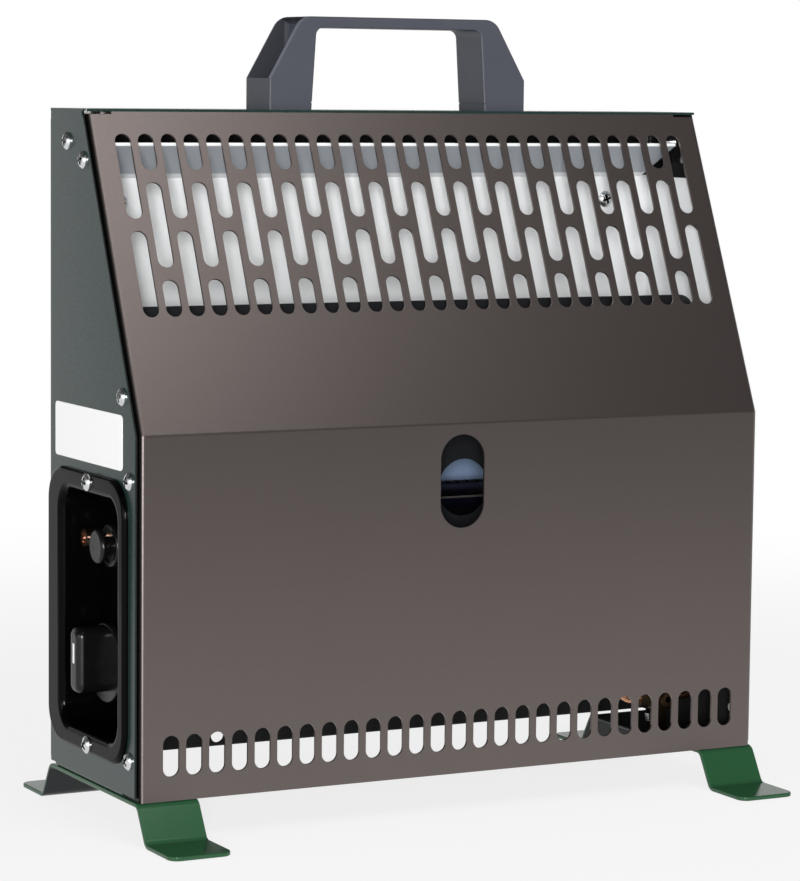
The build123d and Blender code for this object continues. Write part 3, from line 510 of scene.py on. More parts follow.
@dataclass(frozen=True)
class MouldedPlastic:
    """Moulded plastic with a fine spark-eroded grain and faint flow marks."""

    name: str
    colour: Colour
    roughness: float
    specular: float = 0.5
    grain_size: float = 0.55 * MM
    grain_height: float = 0.02 * MM
    flow_size: float = 22 * MM
    flow_stretch: Place = (0.5, 1.0, 1.6)
    flow: float = 0.10
    worn_fineness: float = 6.0
    rough_spread: float = 0.10
    hollow: Hollow | None = None

    def material(self) -> bpy.types.Material:
        """Builds the plastic; a hollow's inside gets painted shade and its rims a painted highlight.

        Returns:
            The plastic's material.
        """
        graph = SurfaceGraph(self.name)
        flow = graph.noise(self.flow_size, stretch=self.flow_stretch)
        grain = graph.dimples(self.grain_size)
        worn = graph.noise(self.flow_size / self.worn_fineness, detail=3.0)
        toned = graph.uneven(flow, self.colour, self.flow)
        # Painted shade inside the hollow ends and a painted highlight on their rims.
        if self.hollow is not None:
            inside, rim_highlight = self.hollow.masks(graph)
            toned = graph.blend(inside, toned, shade(self.colour, self.hollow.shadow))
            toned = graph.blend(rim_highlight, toned, shade(self.colour, self.hollow.rim_highlight))
        return graph.surface({
            "Base Color": toned,
            "Roughness": about(self.roughness, worn, self.rough_spread),
            "Specular IOR Level": self.specular,
            "Normal": graph.bump(grain, self.grain_height),
        })


@dataclass(frozen=True)
class LabelFilm:
    """Blank printed film: white with a faint mottle."""

    name: str
    colour: Colour
    roughness: float = 0.45
    mottle_size: float = 1.2 * MM
    mottle: float = 0.02
    mottle_height: float = 0.005 * MM
    rough_spread: float = 0.1

    def material(self) -> bpy.types.Material:
        """Builds the film.

        Returns:
            The film's material.
        """
        graph = SurfaceGraph(self.name)
        mottle = graph.noise(self.mottle_size, detail=3.0)
        return graph.surface({
            "Base Color": graph.blend(mottle, shade(self.colour, 1.0 - self.mottle), self.colour),
            "Roughness": about(self.roughness, mottle, self.rough_spread),
            "Normal": graph.bump(mottle, self.mottle_height),
        })


@dataclass(frozen=True)
class BareMetal:
    """Metal without paint: plating, turned or drawn marks, spangle and stain, as the piece has them."""

    name: str
    colour: Colour
    stain: Colour
    roughness: float = 0.3
    metallic: float = 1.0
    stain_size: float = 9 * MM
    stain_share: float = 0.35
    stain_power: float = 2.0
    spangle_size: float = 5 * MM
    spangle: float = 0.0
    spangle_rough: float = 0.2
    bright_share: float = 0.9
    dull: float = 0.7
    mark_size: float = 0.5 * MM
    mark_stretch: Place = (1.0, 1.0, 1.0)
    mark_height: float = 0.006 * MM
    rough_spread: float = 0.14
    crevice_shade: str = ""
    crevice_shade_colour: Colour = (0.02, 0.02, 0.02)
    heat_and_shade_colour: Colour | None = None
    heat_and_shade_low: float = 0.0
    heat_and_shade_high: float = 1.0
    shade_band_colour: Colour | None = None
    shade_band_low: float = 0.0
    shade_band_high: float = 1.0
    shade_band_ramp: float = 0.8 * MM

    def material(self) -> bpy.types.Material:
        """Builds the metal; crevices get painted shade, it turns darker and bluer below, a heat tint with
        painted shade, and gets painted shade in one band.

        Returns:
            The metal's material.
        """
        graph = SurfaceGraph(self.name)
        stain_gain = self.stain_share / NOISE_MIDDLE ** self.stain_power
        stain = graph.noise(self.stain_size, detail=4.0) ** self.stain_power * stain_gain
        spangle = (graph.cells(self.spangle_size) - NOISE_MIDDLE) * self.spangle
        marks = graph.noise(self.mark_size, stretch=self.mark_stretch)
        toned = graph.blend(stain, self.colour, self.stain)
        if self.spangle:
            toned = graph.blend(self.bright_share + spangle, shade(self.colour, self.dull), toned)
        # Darker and bluer below, towards the burner: a heat tint together with painted shade.
        if self.heat_and_shade_colour is not None:
            clear_of_tint = graph.rise(graph.axis("Z"), self.heat_and_shade_low, self.heat_and_shade_high)
            toned = graph.blend(clear_of_tint, self.heat_and_shade_colour, toned)
        # A band of painted shade, standing for the shaded underside of the deflector's top.
        if self.shade_band_colour is not None:
            inside = graph.rise(graph.axis("Z"), self.shade_band_low, self.shade_band_low + self.shade_band_ramp)
            past = graph.rise(graph.axis("Z"), self.shade_band_high - self.shade_band_ramp, self.shade_band_high)
            toned = graph.blend(inside * (1.0 - past), toned, self.shade_band_colour)
        # Walls of the cross recess get near black painted shade.
        if self.crevice_shade:
            toned = graph.blend(graph.marked(self.crevice_shade), toned, self.crevice_shade_colour)
        return graph.surface({
            "Base Color": toned,
            "Roughness": about(self.roughness, marks, self.rough_spread) + spangle * self.spangle_rough,
            "Metallic": self.metallic,
            "Normal": graph.bump(marks, self.mark_height),
        })


@dataclass(frozen=True)
class HeatTintedSteel:
    """Blued steel that has been hot: near black below, blue and straw bands above, and a bare upper edge."""

    name: str
    colour: Colour
    low: float
    high: float
    edge: Colour
    edge_height: float
    roughness: float = 0.34
    patch_size: float = 24 * MM
    patch: float = 0.35
    dull_place: float = 0.5
    dull: float = 0.8
    bands: tuple[tuple[float, Colour], ...] = (
        (0.72, (0.03, 0.024, 0.022)), (0.85, (0.02, 0.022, 0.05)), (1.0, (0.03, 0.035, 0.07)))
    drawn_size: float = 0.7 * MM
    drawn_stretch: Place = (0.08, 1.0, 1.0)
    drawn_height: float = 0.008 * MM
    rough_spread: float = 0.16

    def material(self) -> bpy.types.Material:
        """Builds the steel.

        Returns:
            The steel's material.
        """
        graph = SurfaceGraph(self.name)
        height = (graph.axis("Z") - self.low) / (self.high - self.low)
        heat = about(height, graph.noise(self.patch_size, detail=3.0), self.patch)
        dull = (self.dull_place, shade(self.colour, self.dull))
        tint = graph.tints(heat, ((0.0, self.colour), dull, *self.bands))
        bare = graph.rise(graph.axis("Z"), self.high - self.edge_height, self.high - self.edge_height / 2.0)
        tint = graph.blend(bare, tint, self.edge)
        drawn = graph.noise(self.drawn_size, stretch=self.drawn_stretch)
        return graph.surface({
            "Base Color": tint,
            "Roughness": about(self.roughness, drawn, self.rough_spread),
            "Metallic": 1.0,
            "Normal": graph.bump(drawn, self.drawn_height),
        })


@dataclass(frozen=True)
class Glaze:
    """Glazed ceramic or silicone sleeving: smooth, with specks."""

    name: str
    colour: Colour
    speck_colour: Colour
    roughness: float
    speck_size: float = 0.5 * MM
    speck_rarity: float = 9.0
    speck_share: float = 0.6
    skin_coarseness: float = 3.0
    skin_height: float = 0.01 * MM
    rough_spread: float = 0.08
    coat: float = 0.0

    def material(self) -> bpy.types.Material:
        """Builds the glaze.

        Returns:
            The glaze's material.
        """
        graph = SurfaceGraph(self.name)
        speck = graph.cells(self.speck_size) ** self.speck_rarity * self.speck_share
        skin = graph.noise(self.speck_size * self.skin_coarseness)
        return graph.surface({
            "Base Color": graph.blend(speck, self.colour, self.speck_colour),
            "Roughness": about(self.roughness, skin, self.rough_spread),
            "Coat Weight": self.coat,
            "Normal": graph.bump(skin, self.skin_height),
        })


def added(name: str, data: bpy.types.ID) -> bpy.types.Object:
    """Adds an object to the scene, at the origin.

    Args:
        name: the object's name.
        data: its mesh, lamp or camera.

    Returns:
        The object.
    """
    piece = bpy.data.objects.new(name, data)
    bpy.context.scene.collection.objects.link(piece)
    return piece


def dress(names: Sequence[str], material: bpy.types.Material) -> None:
    """Gives CAD nodes a finish.

    Args:
        names: the nodes.
        material: the finish, set in each of their material slots.
    """
    for name in names:
        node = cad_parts[name]
        if not node.material_slots:
            node.data.materials.append(material)
        for slot in node.material_slots:
            slot.material = material
        LOG.info("dressed %s in %s", name, material.name)


@dataclass
class Casing:
    """The folded sheets, the foot straps and the blank label on the side."""

    front_paint: PowderCoat = PowderCoat(
        "front_paint", colour=(0.160, 0.135, 0.128), flake_colour=(0.27, 0.235, 0.22), roughness=0.37,
        metallic=0.9, specular=0.4, flake_share=0.2, flake_size=0.22 * MM, flake_rarity=3.0, cloud=0.03)
    side_paint: PowderCoat = PowderCoat(
        "side_paint", colour=(0.011, 0.027, 0.024), flake_colour=(0.03, 0.055, 0.05), roughness=0.28,
        specular=0.42, flake_share=0.1, flake_size=0.22 * MM)
    strap_paint: PowderCoat = PowderCoat(
        "strap_paint", colour=(0.019, 0.073, 0.031), flake_colour=(0.02, 0.08, 0.035), roughness=0.19,
        specular=0.32, flake_share=0.1, flake_size=0.22 * MM, painted_shade_colour=(0.003, 0.005, 0.006))
    # Near black painted shade for the inner faces of the side and back panels.
    inner_shade_colour: Colour = (0.001, 0.0013, 0.0013)
    fold_inset: float = 0.2 * MM
    sheet_thickness: float = 1.2 * MM
    strap_thickness: float = 2 * MM
    leg_from: float = 52.3 * MM
    bend_from: float = 60.9 * MM
    bend_to: float = 64.8 * MM
    leg_share: float = 0.868
    label_film: LabelFilm = LabelFilm("label_film", colour=(0.93, 0.93, 0.93))

    def dress(self) -> None:
        """Paints the sheets and the straps, and gives the label its film."""
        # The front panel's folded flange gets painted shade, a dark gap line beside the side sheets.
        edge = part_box("front_panel")[1].x - self.fold_inset
        dress(["front_panel"], replace(self.front_paint, fold_edge=edge).material())
        dress(["top_plate"], self.side_paint.material())
        for name, nodes in (("wall_paint", ["right_side_panel", "left_side_panel"]),
                            ("back_paint", ["back_panel"])):
            low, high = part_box(nodes[0])
            shaded_lining = ShadedLining(half_width=high.x, rear=high.y, foot=low.z, skin=self.sheet_thickness / 2.0)
            paint = replace(self.side_paint, name=name, painted_shade_colour=self.inner_shade_colour, shaded_lining=shaded_lining)
            dress(nodes, paint.material())
        # The straps' lower faces, such as the inner faces of the rear legs, get painted shade.
        half = self.strap_thickness / 2.0
        shaded_underside = ShadedUnderside(high=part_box("left_foot_strap")[1].z - half, low=half, step_from=self.leg_from,
                              bend_from=self.bend_from, bend_to=self.bend_to, leg_share=self.leg_share)
        strap_paint = replace(self.strap_paint, shaded_underside=shaded_underside)
        dress(["left_foot_strap", "right_foot_strap"], strap_paint.material())
        dress(["rating_label"], self.label_film.material())


@dataclass
class CarryHandle:
    """The moulded carrying handle."""

    plastic: MouldedPlastic = MouldedPlastic(
        "handle_plastic", colour=(0.049, 0.053, 0.067), roughness=0.5, specular=0.4, grain_size=0.7 * MM)
    wall: float = 1.8 * MM
    shoulder: float = 15 * MM
    hollow_from: float = 50 * MM

    def dress(self) -> None:
        """Gives the handle its plastic."""
        low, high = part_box("carry_handle")
        # The handle's hollow ends get painted shade inside and a painted highlight on their rims.
        hollow = Hollow(middle_y=(low.y + high.y) / 2.0, half_depth=(high.y - low.y) / 2.0, wall=self.wall,
                        from_x=self.hollow_from, from_z=low.z + self.shoulder)
        dress(["carry_handle"], replace(self.plastic, hollow=hollow).material())


@dataclass
class Controls:
    """The recess in the left side with its knob, button, test nipple and what drives them."""

    tub_plastic: MouldedPlastic = MouldedPlastic(
        "recess_plastic", colour=(0.0008, 0.0008, 0.0009), roughness=0.16, specular=0.06,
        grain_height=0.003 * MM)
    knob_plastic: MouldedPlastic = MouldedPlastic(
        "knob_plastic", colour=(0.003, 0.003, 0.0034), roughness=0.26, specular=0.3, grain_height=0.006 * MM)
    print_film: LabelFilm = LabelFilm("pointer_print", colour=(0.9, 0.9, 0.9), mottle_size=0.5 * MM)
    nipple_metal: BareMetal = BareMetal(
        "nipple_metal", colour=(0.90, 0.56, 0.42), stain=(0.60, 0.30, 0.20), roughness=0.2, stain_size=3 * MM,
        stain_share=0.2)
    # Near black, so that the nipple's hole reads dark: painted shade.
    shaded_plug_metal: BareMetal = BareMetal(
        "shaded_plug_metal", colour=(0.10, 0.05, 0.035), stain=(0.05, 0.025, 0.02), roughness=0.4, stain_size=2 * MM)
    cast_alloy: BareMetal = BareMetal(
        "cast_alloy", colour=(0.56, 0.56, 0.58), stain=(0.34, 0.34, 0.36), roughness=0.48, mark_size=0.9 * MM,
        mark_height=0.05 * MM)
    spring_wire: BareMetal = BareMetal(
        "spring_wire", colour=(0.42, 0.42, 0.44), stain=(0.24, 0.2, 0.17), roughness=0.3)
    knob_travel: float = 3 * MM
    button_travel: float = 3.8 * MM

    @staticmethod
    def _fit_spring(node: str, joint: str, travel: float) -> None:
        """Stands a copy of a dressed spring in its place on the casing, and hides the CAD node.

        Args:
            node: the spring's CAD node, held at its end on the right.
            joint: the joint that presses it.
            travel: how far that joint goes; not used.
        """
        piece = added(f"{node}_coil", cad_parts[node].data.copy())
        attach(piece, BODY)
        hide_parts(node)
        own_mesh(piece)
        LOG.info("fitted %s, which shortens with %s", piece.name, joint)

    def dress(self, zinc: bpy.types.Material, brass: bpy.types.Material) -> None:
        """Gives the controls their finishes.

        Args:
            zinc: plating of the spindle.
            brass: turned brass of the thrust sleeve.
        """
        for names, finish in (
                (["control_recess"], self.tub_plastic), (["knob_pointer"], self.print_film),
                (["control_knob", "piezo_button", "piezo_nut", "piezo_barrel"], self.knob_plastic),
                (["valve_body"], self.cast_alloy), (["valve_spring", "button_spring"], self.spring_wire),
                (["test_nipple"], self.nipple_metal), (["nipple_plug"], self.shaded_plug_metal)):
            dress(names, finish.material())
        dress(["valve_spindle"], zinc)
        dress(["valve_plunger"], brass)
        self._fit_spring("valve_spring", "knob_push", self.knob_travel)
        self._fit_spring("button_spring", "button_push", self.button_travel)


@dataclass
class HotBox:
    """The pale deflector, the walls of the hot chamber and the burner in it."""

    # The pale sheet turns darker and bluer near the burner: a heat tint together with painted shade.
    pale_sheet: BareMetal = BareMetal(
        "pale_sheet", colour=(0.88, 0.895, 0.905), stain=(0.80, 0.80, 0.785), roughness=0.42, metallic=0.1,
        stain_share=0.2, spangle_size=7 * MM, spangle=0.06, mark_size=1.1 * MM,
        heat_and_shade_colour=(0.165, 0.225, 0.34))
    # Colour and place of the painted shade band below the deflector's lip.
    deflector_shade: Colour = (0.38, 0.41, 0.45)
    shade_band_drop: float = 15.6 * MM
    lip_height: float = 1.2 * MM
    blue_from: float = 6 * MM
    blue_to: float = 45 * MM
    blued: Colour = (0.020, 0.022, 0.032)
    bare_edge: Colour = (0.72, 0.68, 0.64)
    edge_height: float = 0.9 * MM
    black_sheet: PowderCoat = PowderCoat(
        "heat_paint", colour=(0.006, 0.0065, 0.0085), flake_colour=(0.015, 0.015, 0.018), roughness=0.5,
        specular=0.35, peel_height=0.02 * MM, peel_size=0.9 * MM)
    ceramic: Glaze = Glaze(
        "ceramic", colour=(0.82, 0.81, 0.77), speck_colour=(0.4, 0.36, 0.3), roughness=0.25, coat=0.4)
    sleeving: Glaze = Glaze(
        "lead_sleeving", colour=(0.16, 0.018, 0.014), speck_colour=(0.3, 0.08, 0.06), roughness=0.5)

    def dress(self, zinc: bpy.types.Material) -> None:
        """Gives the hot chamber its finishes.

        Args:
            zinc: plating of the stand-offs, brackets and the thermocouple.
        """
        for name, edge in (("burner_tray", self.bare_edge), ("burner_tube", self.blued)):
            low, high = (corner.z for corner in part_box(name))
            steel = HeatTintedSteel(f"{name}_steel", colour=self.blued, low=low, high=high, edge=edge,
                                    edge_height=self.edge_height)
            dress([name], steel.material())
        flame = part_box("burner_tube")[1].z
        pale = replace(self.pale_sheet, heat_and_shade_low=flame + self.blue_from, heat_and_shade_high=flame + self.blue_to)
        dress(["left_box_wall", "right_box_wall"], pale.material())
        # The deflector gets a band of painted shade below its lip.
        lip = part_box("heat_deflector")[1].z
        shaded_deflector = replace(pale, name="shaded_deflector_sheet", shade_band_colour=self.deflector_shade, shade_band_low=lip - self.shade_band_drop,
                         shade_band_high=lip - self.lip_height)
        dress(["heat_deflector"], shaded_deflector.material())
        dress(["box_front", "heat_step"], self.black_sheet.material())
        dress(["spark_electrode"], self.ceramic.material())
        dress(["ignition_lead", "sensor_lead"], self.sleeving.material())
        dress(["deflector_standoffs", "burner_brackets", "thermocouple", "left_top_bracket",
               "right_top_bracket"], zinc)


@dataclass
class GasLine:
    """The inlet, copper pipes, brass nuts and the jet."""

    copper: BareMetal = BareMetal(
        "drawn_copper", colour=(0.66, 0.33, 0.19), stain=(0.30, 0.14, 0.08), roughness=0.28,
        stain_size=14 * MM, mark_stretch=(0.1, 1.0, 1.0))
    # Brass darkened near black for the fittings in the shade behind the lower slots: painted shade.
    shaded_brass: BareMetal = BareMetal(
        "shade_darkened_brass", colour=(0.10, 0.068, 0.035), stain=(0.045, 0.03, 0.018), roughness=0.34)

    def dress(self, brass: bpy.types.Material) -> None:
        """Gives the gas line its finishes.

        Args:
            brass: turned brass of the fittings outside the casing.
        """
        dress(["gas_pipe", "riser_pipe"], self.copper.material())
        dress(["injector_holder", "gas_jet", "pipe_union", "pipe_nuts"], self.shaded_brass.material())
        dress(["gas_inlet", "inlet_nut"], brass)


@dataclass
class Screws:
    """Pan-head screws with a cross recess, one tree for all of them."""

    head_radius: float = 4.1 * MM
    head_height: float = 2.3 * MM
    crown_drop: float = 0.72
    crown_power: float = 3.0
    cross_reach: float = 3.3 * MM
    cross_width: float = 1.5 * MM
    cross_depth: float = 1.6 * MM
    cross_taper: float = 0.4
    cross_mark: str = "cross"
    shank_radius: float = 2.0 * MM
    rim_points: int = 36
    shank_points: int = 20
    crown_rings: int = 6
    seed: int = 7
    graph: NodeGraph | None = field(default=None, init=False)
    inputs: bpy.types.NodeOutputs | None = field(default=None, init=False)

    def sizes(self, shank_length: float) -> dict[str, float]:
        """The sizes that the tree takes.

        Args:
            shank_length: how far the shank goes down.

        Returns:
            The sizes, by the name of the tree's input.
        """
        return {"Head Radius": self.head_radius, "Head Height": self.head_height,
                "Crown Drop": self.crown_drop, "Cross Reach": self.cross_reach,
                "Cross Width": self.cross_width, "Cross Depth": self.cross_depth,
                "Cross Taper": self.cross_taper, "Shank Radius": self.shank_radius,
                "Shank Length": shank_length}

    def tree(self, zinc: bpy.types.Material) -> bpy.types.NodeTree:
        """The Geometry Nodes tree that puts a screw on each point.

        Args:
            zinc: plating of the screws.

        Returns:
            The tree, with named inputs for the sizes and for the way the heads point.
        """
        tree = bpy.data.node_groups.new("pan_head_screws", "GeometryNodeTree")
        graph = self.graph = NodeGraph(tree)
        tree.interface.new_socket("Geometry", in_out="INPUT", socket_type="NodeSocketGeometry")
        for name in self.sizes(0.0):
            tree.interface.new_socket(name, in_out="INPUT", socket_type="NodeSocketFloat")
        tree.interface.new_socket("Outward", in_out="INPUT", socket_type="NodeSocketVector")
        tree.interface.new_socket("Geometry", in_out="OUTPUT", socket_type="NodeSocketGeometry")
        self.inputs = graph.node("NodeGroupInput").outputs
        screw = graph.node("GeometryNodeJoinGeometry", {}, {
            "Geometry": [self._slotted_head(), self._shank()]}).outputs["Geometry"]
        spin = graph.node("FunctionNodeRandomValue", {"data_type": "FLOAT"}, {
            2: 0.0, 3: math.pi, "Seed": self.seed}).outputs[1]
        turn = graph.node("FunctionNodeAxisAngleToRotation", {}, {"Axis": (0.0, 0.0, 1.0), "Angle": spin})
        stand = graph.node("FunctionNodeAlignRotationToVector", {"axis": "Z"}, {
            "Vector": self.inputs["Outward"]})
        pose = graph.node("FunctionNodeRotateRotation", {"rotation_space": "LOCAL"}, {
            "Rotation": stand.outputs["Rotation"], "Rotate By": turn.outputs["Rotation"]})
        placed = graph.node("GeometryNodeInstanceOnPoints", {}, {
            "Points": self.inputs["Geometry"], "Instance": screw, "Rotation": pose.outputs["Rotation"]})
        real = graph.node("GeometryNodeRealizeInstances", {}, {"Geometry": placed.outputs["Instances"]})
        plated = graph.node("GeometryNodeSetMaterial", {}, {
            "Geometry": real.outputs["Geometry"], "Material": zinc})
        graph.node("NodeGroupOutput", {}, {"Geometry": plated.outputs["Geometry"]})
        return tree

    def _size(self, name: str) -> Term:
        """One of the tree's sizes."""
        return Term(self.graph, self.inputs[name])

    def _points(self) -> Sequence[Term]:
        """The X, Y and Z of a mesh's points."""
        place = self.graph.node("GeometryNodeInputPosition").outputs["Position"]
        return tuple(self.graph.axes(place).values())

    def _moved(self, mesh: bpy.types.NodeSocket, place: bpy.types.NodeSocket) -> bpy.types.NodeSocket:
        """A mesh with its points moved to a place that follows from where they are."""
        node = self.graph.node("GeometryNodeSetPosition", {}, {"Geometry": mesh, "Position": place})
        return node.outputs["Geometry"]

    def _slotted_head(self) -> bpy.types.NodeSocket:
        """The crowned head with its cross cut out, standing on the plane z = 0.

        Returns:
            The head's mesh.
        """
        graph, radius, height = self.graph, self._size("Head Radius"), self._size("Head Height")
        drum = graph.node("GeometryNodeMeshCylinder", {"fill_type": "TRIANGLE_FAN"}, {
            "Vertices": self.rim_points, "Side Segments": 1, "Fill Segments": self.crown_rings,
            "Radius": radius, "Depth": height}).outputs["Mesh"]
        x, y, z = self._points()
        out = (x * x + y * y) ** 0.5 / radius
        crowned = (z + height * 0.5) * (1.0 - self._size("Crown Drop") * out ** self.crown_power)
        head = self._moved(drum, graph.vector(x, y, crowned))
        bars = [self._cross_bar(turn) for turn in (0.0, math.pi / 2)]
        cut = graph.node("GeometryNodeMeshBoolean", {"operation": "DIFFERENCE", "solver": "EXACT"}, {
            "Mesh 1": self._mark(head, 0.0), "Mesh 2": [self._mark(bar, 1.0) for bar in bars]})
        return cut.outputs["Mesh"]

    def _mark(self, mesh: bpy.types.NodeSocket, share: float) -> bpy.types.NodeSocket:
        """Marks a mesh's faces as walls of the cross recess or not; the zinc gives the marked walls painted
        shade.

        Args:
            mesh: the mesh.
            share: 1 for walls of the recess, 0 for the head.

        Returns:
            The marked mesh.
        """
        settings = {"data_type": "FLOAT", "domain": "FACE"}
        marked = self.graph.node("GeometryNodeStoreNamedAttribute", settings, {
            "Geometry": mesh, "Name": self.cross_mark, "Value": share})
        return marked.outputs["Geometry"]

    def _cross_bar(self, turn: float) -> bpy.types.NodeSocket:
        """One tapered bar of the cross recess.

        Args:
            turn: how far the bar is turned about Z, in radians.

        Returns:
            The bar's mesh, placed at the top of the head.
        """
        graph, reach, depth = self.graph, self._size("Cross Reach"), self._size("Cross Depth")
        size = graph.vector(reach * 2.0, self._size("Cross Width"), depth * 2.0)
        cube = graph.node("GeometryNodeMeshCube", {}, {"Size": size}).outputs["Mesh"]
        x, y, z = self._points()
        slim = 1.0 - self._size("Cross Taper") * (0.5 - z / depth * 0.5)
        bar = self._moved(cube, graph.vector(x * slim, y * slim, z))
        return graph.node("GeometryNodeTransform", {}, {
            "Geometry": bar, "Translation": graph.vector(z=self._size("Head Height")),
            "Rotation": (0.0, 0.0, turn)}).outputs["Geometry"]

    def _shank(self) -> bpy.types.NodeSocket:
        """The shank below the head, from the plane z = 0 down.

        Returns:
            The shank's mesh.
        """
        graph, length = self.graph, self._size("Shank Length")
        shank = graph.node("GeometryNodeMeshCylinder", {}, {
            "Vertices": self.shank_points, "Side Segments": 1, "Radius": self._size("Shank Radius"),
            "Depth": length}).outputs["Mesh"]
        return graph.node("GeometryNodeTransform", {}, {
            "Geometry": shank, "Translation": graph.vector(z=length * -0.5)}).outputs["Geometry"]

    def build(self, tree: bpy.types.NodeTree, node: str, facing: Facing) -> None:
        """Makes the screws that stand for one CAD node, as a piece that rides on the casing.

        Args:
            tree: the tree that puts a screw on each point.
            node: the CAD node, one solid for each screw.
            facing: the way its heads point.
        """
        outward = Vector(facing.value)
        seats, lengths = [], []
        for screw in loose_solids(node):
            along = [point.dot(outward) for point in screw]
            middle = box_middle(screw)
            seats.append(middle + outward * (max(along) - self.head_height - middle.dot(outward)))
            lengths.append(max(along) - min(along))
        points = bpy.data.meshes.new(f"{node}_points")
        points.from_pydata([tuple(seat) for seat in seats], [], [])
        values = {**self.sizes(min(lengths) - self.head_height), "Outward": facing.value}
        piece = grown(f"{node}_detail", points, tree, values)
        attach(piece, BODY)
        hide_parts(node)
        LOG.info("built %s: %d screws", piece.name, len(seats))


def loose_solids(node: str) -> list[list[Vector]]:
    """The separate solids of a CAD node.

    Args:
        node: the node's name.

    Returns:
        The corner points of each solid.
    """
    work = bmesh.new()
    work.from_mesh(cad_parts[node].data)
    bmesh.ops.remove_doubles(work, verts=work.verts, dist=MERGE_GAP)
    left = set(work.verts)
    solids = []
    while left:
        found = [left.pop()]
        for vert in found:
            near = {edge.other_vert(vert) for edge in vert.link_edges} & left
            left -= near
            found.extend(near)
        solids.append([vert.co.copy() for vert in found])
    work.free()
    return sorted(solids, key=lambda points: tuple(round(value, SORT_DIGITS) for value in box_middle(points)))


def box_middle(points: Sequence[Vector]) -> Vector:
    """The middle of the box round some points."""
    return Vector([(min(p[axis] for p in points) + max(p[axis] for p in points)) / 2.0 for axis in range(3)])


def grown(name: str, seed_mesh: bpy.types.Mesh, tree: bpy.types.NodeTree,
          values: Mapping[str, Any]) -> bpy.types.Object:
    """Runs a Geometry Nodes tree and keeps its result as a plain mesh.

    Args:
        name: the piece's name.
        seed_mesh: what the tree starts from.
        tree: the tree.
        values: its inputs, by name.

    Returns:
        The piece, at the origin, with no modifier.
    """
    host = added(f"{name}_host", seed_mesh)
    modifier = host.modifiers.new(tree.name, "NODES")
    modifier.node_group = tree
    sockets = {item.name: item.identifier for item in tree.interface.items_tree if item.in_out == "INPUT"}
    for socket, value in values.items():
        modifier[sockets[socket]] = value
    mesh = bpy.data.meshes.new_from_object(host.evaluated_get(bpy.context.evaluated_depsgraph_get()))
    bpy.data.objects.remove(host)
    bpy.data.meshes.remove(seed_mesh)
    mesh.name = name
    mesh.shade_smooth()
    mesh.set_sharp_from_angle(angle=SMOOTH_ANGLE)
    return added(name, mesh)


@dataclass
class Fasteners:
    """All screws, by the CAD node that they stand for, and the metals that other pieces share."""

    # The zinc gives the screws' cross recesses painted shade.
    zinc: BareMetal = BareMetal(
        "zinc_plate", colour=(0.72, 0.73, 0.75), stain=(0.52, 0.53, 0.51), roughness=0.27, stain_size=3 * MM,
        stain_share=0.25, mark_size=0.6 * MM, crevice_shade=Screws.cross_mark)
    brass: BareMetal = BareMetal(
        "turned_brass", colour=(0.66, 0.45, 0.20), stain=(0.34, 0.21, 0.09), roughness=0.27,
        stain_size=6 * MM, mark_size=0.4 * MM)

    def build(self, zinc: bpy.types.Material) -> None:
        """Makes every set of screws.

        Args:
            zinc: their plating.
        """
        screws = Screws()
        tree = screws.tree(zinc)
        for node, facing in (("left_side_screws", Facing.LEFT), ("right_side_screws", Facing.RIGHT),
                             ("back_screws", Facing.REAR), ("foot_screws", Facing.DOWN),
                             ("handle_screws", Facing.DOWN), ("recess_screws", Facing.LEFT),
                             ("deflector_screws", Facing.FRONT)):
            screws.build(tree, node, facing)


def level(reach: float, height: float) -> list[Place]:
    """The corners of a level square around the object."""
    return [(x * reach, y * reach, height) for x, y in ((-1, -1), (1, -1), (1, 1), (-1, 1))]


def upright(start: float, end: float, depth: float, top: float) -> list[Place]:
    """The corners of an upright card on the floor, across the front or back of the object."""
    return [(start, depth, 0.0), (end, depth, 0.0), (end, depth, top), (start, depth, top)]


@dataclass(frozen=True)
class Card:
    """A dark card that only gloss shows: its four corners in order, and how pale it is."""

    name: str
    corners: Sequence[Place]
    grey: float


@dataclass(frozen=True)
class Lamp:
    """A soft lamp: where it hangs, its width and height, and its power in watts."""

    name: str
    place: Place
    size: tuple[float, float]
    power: float


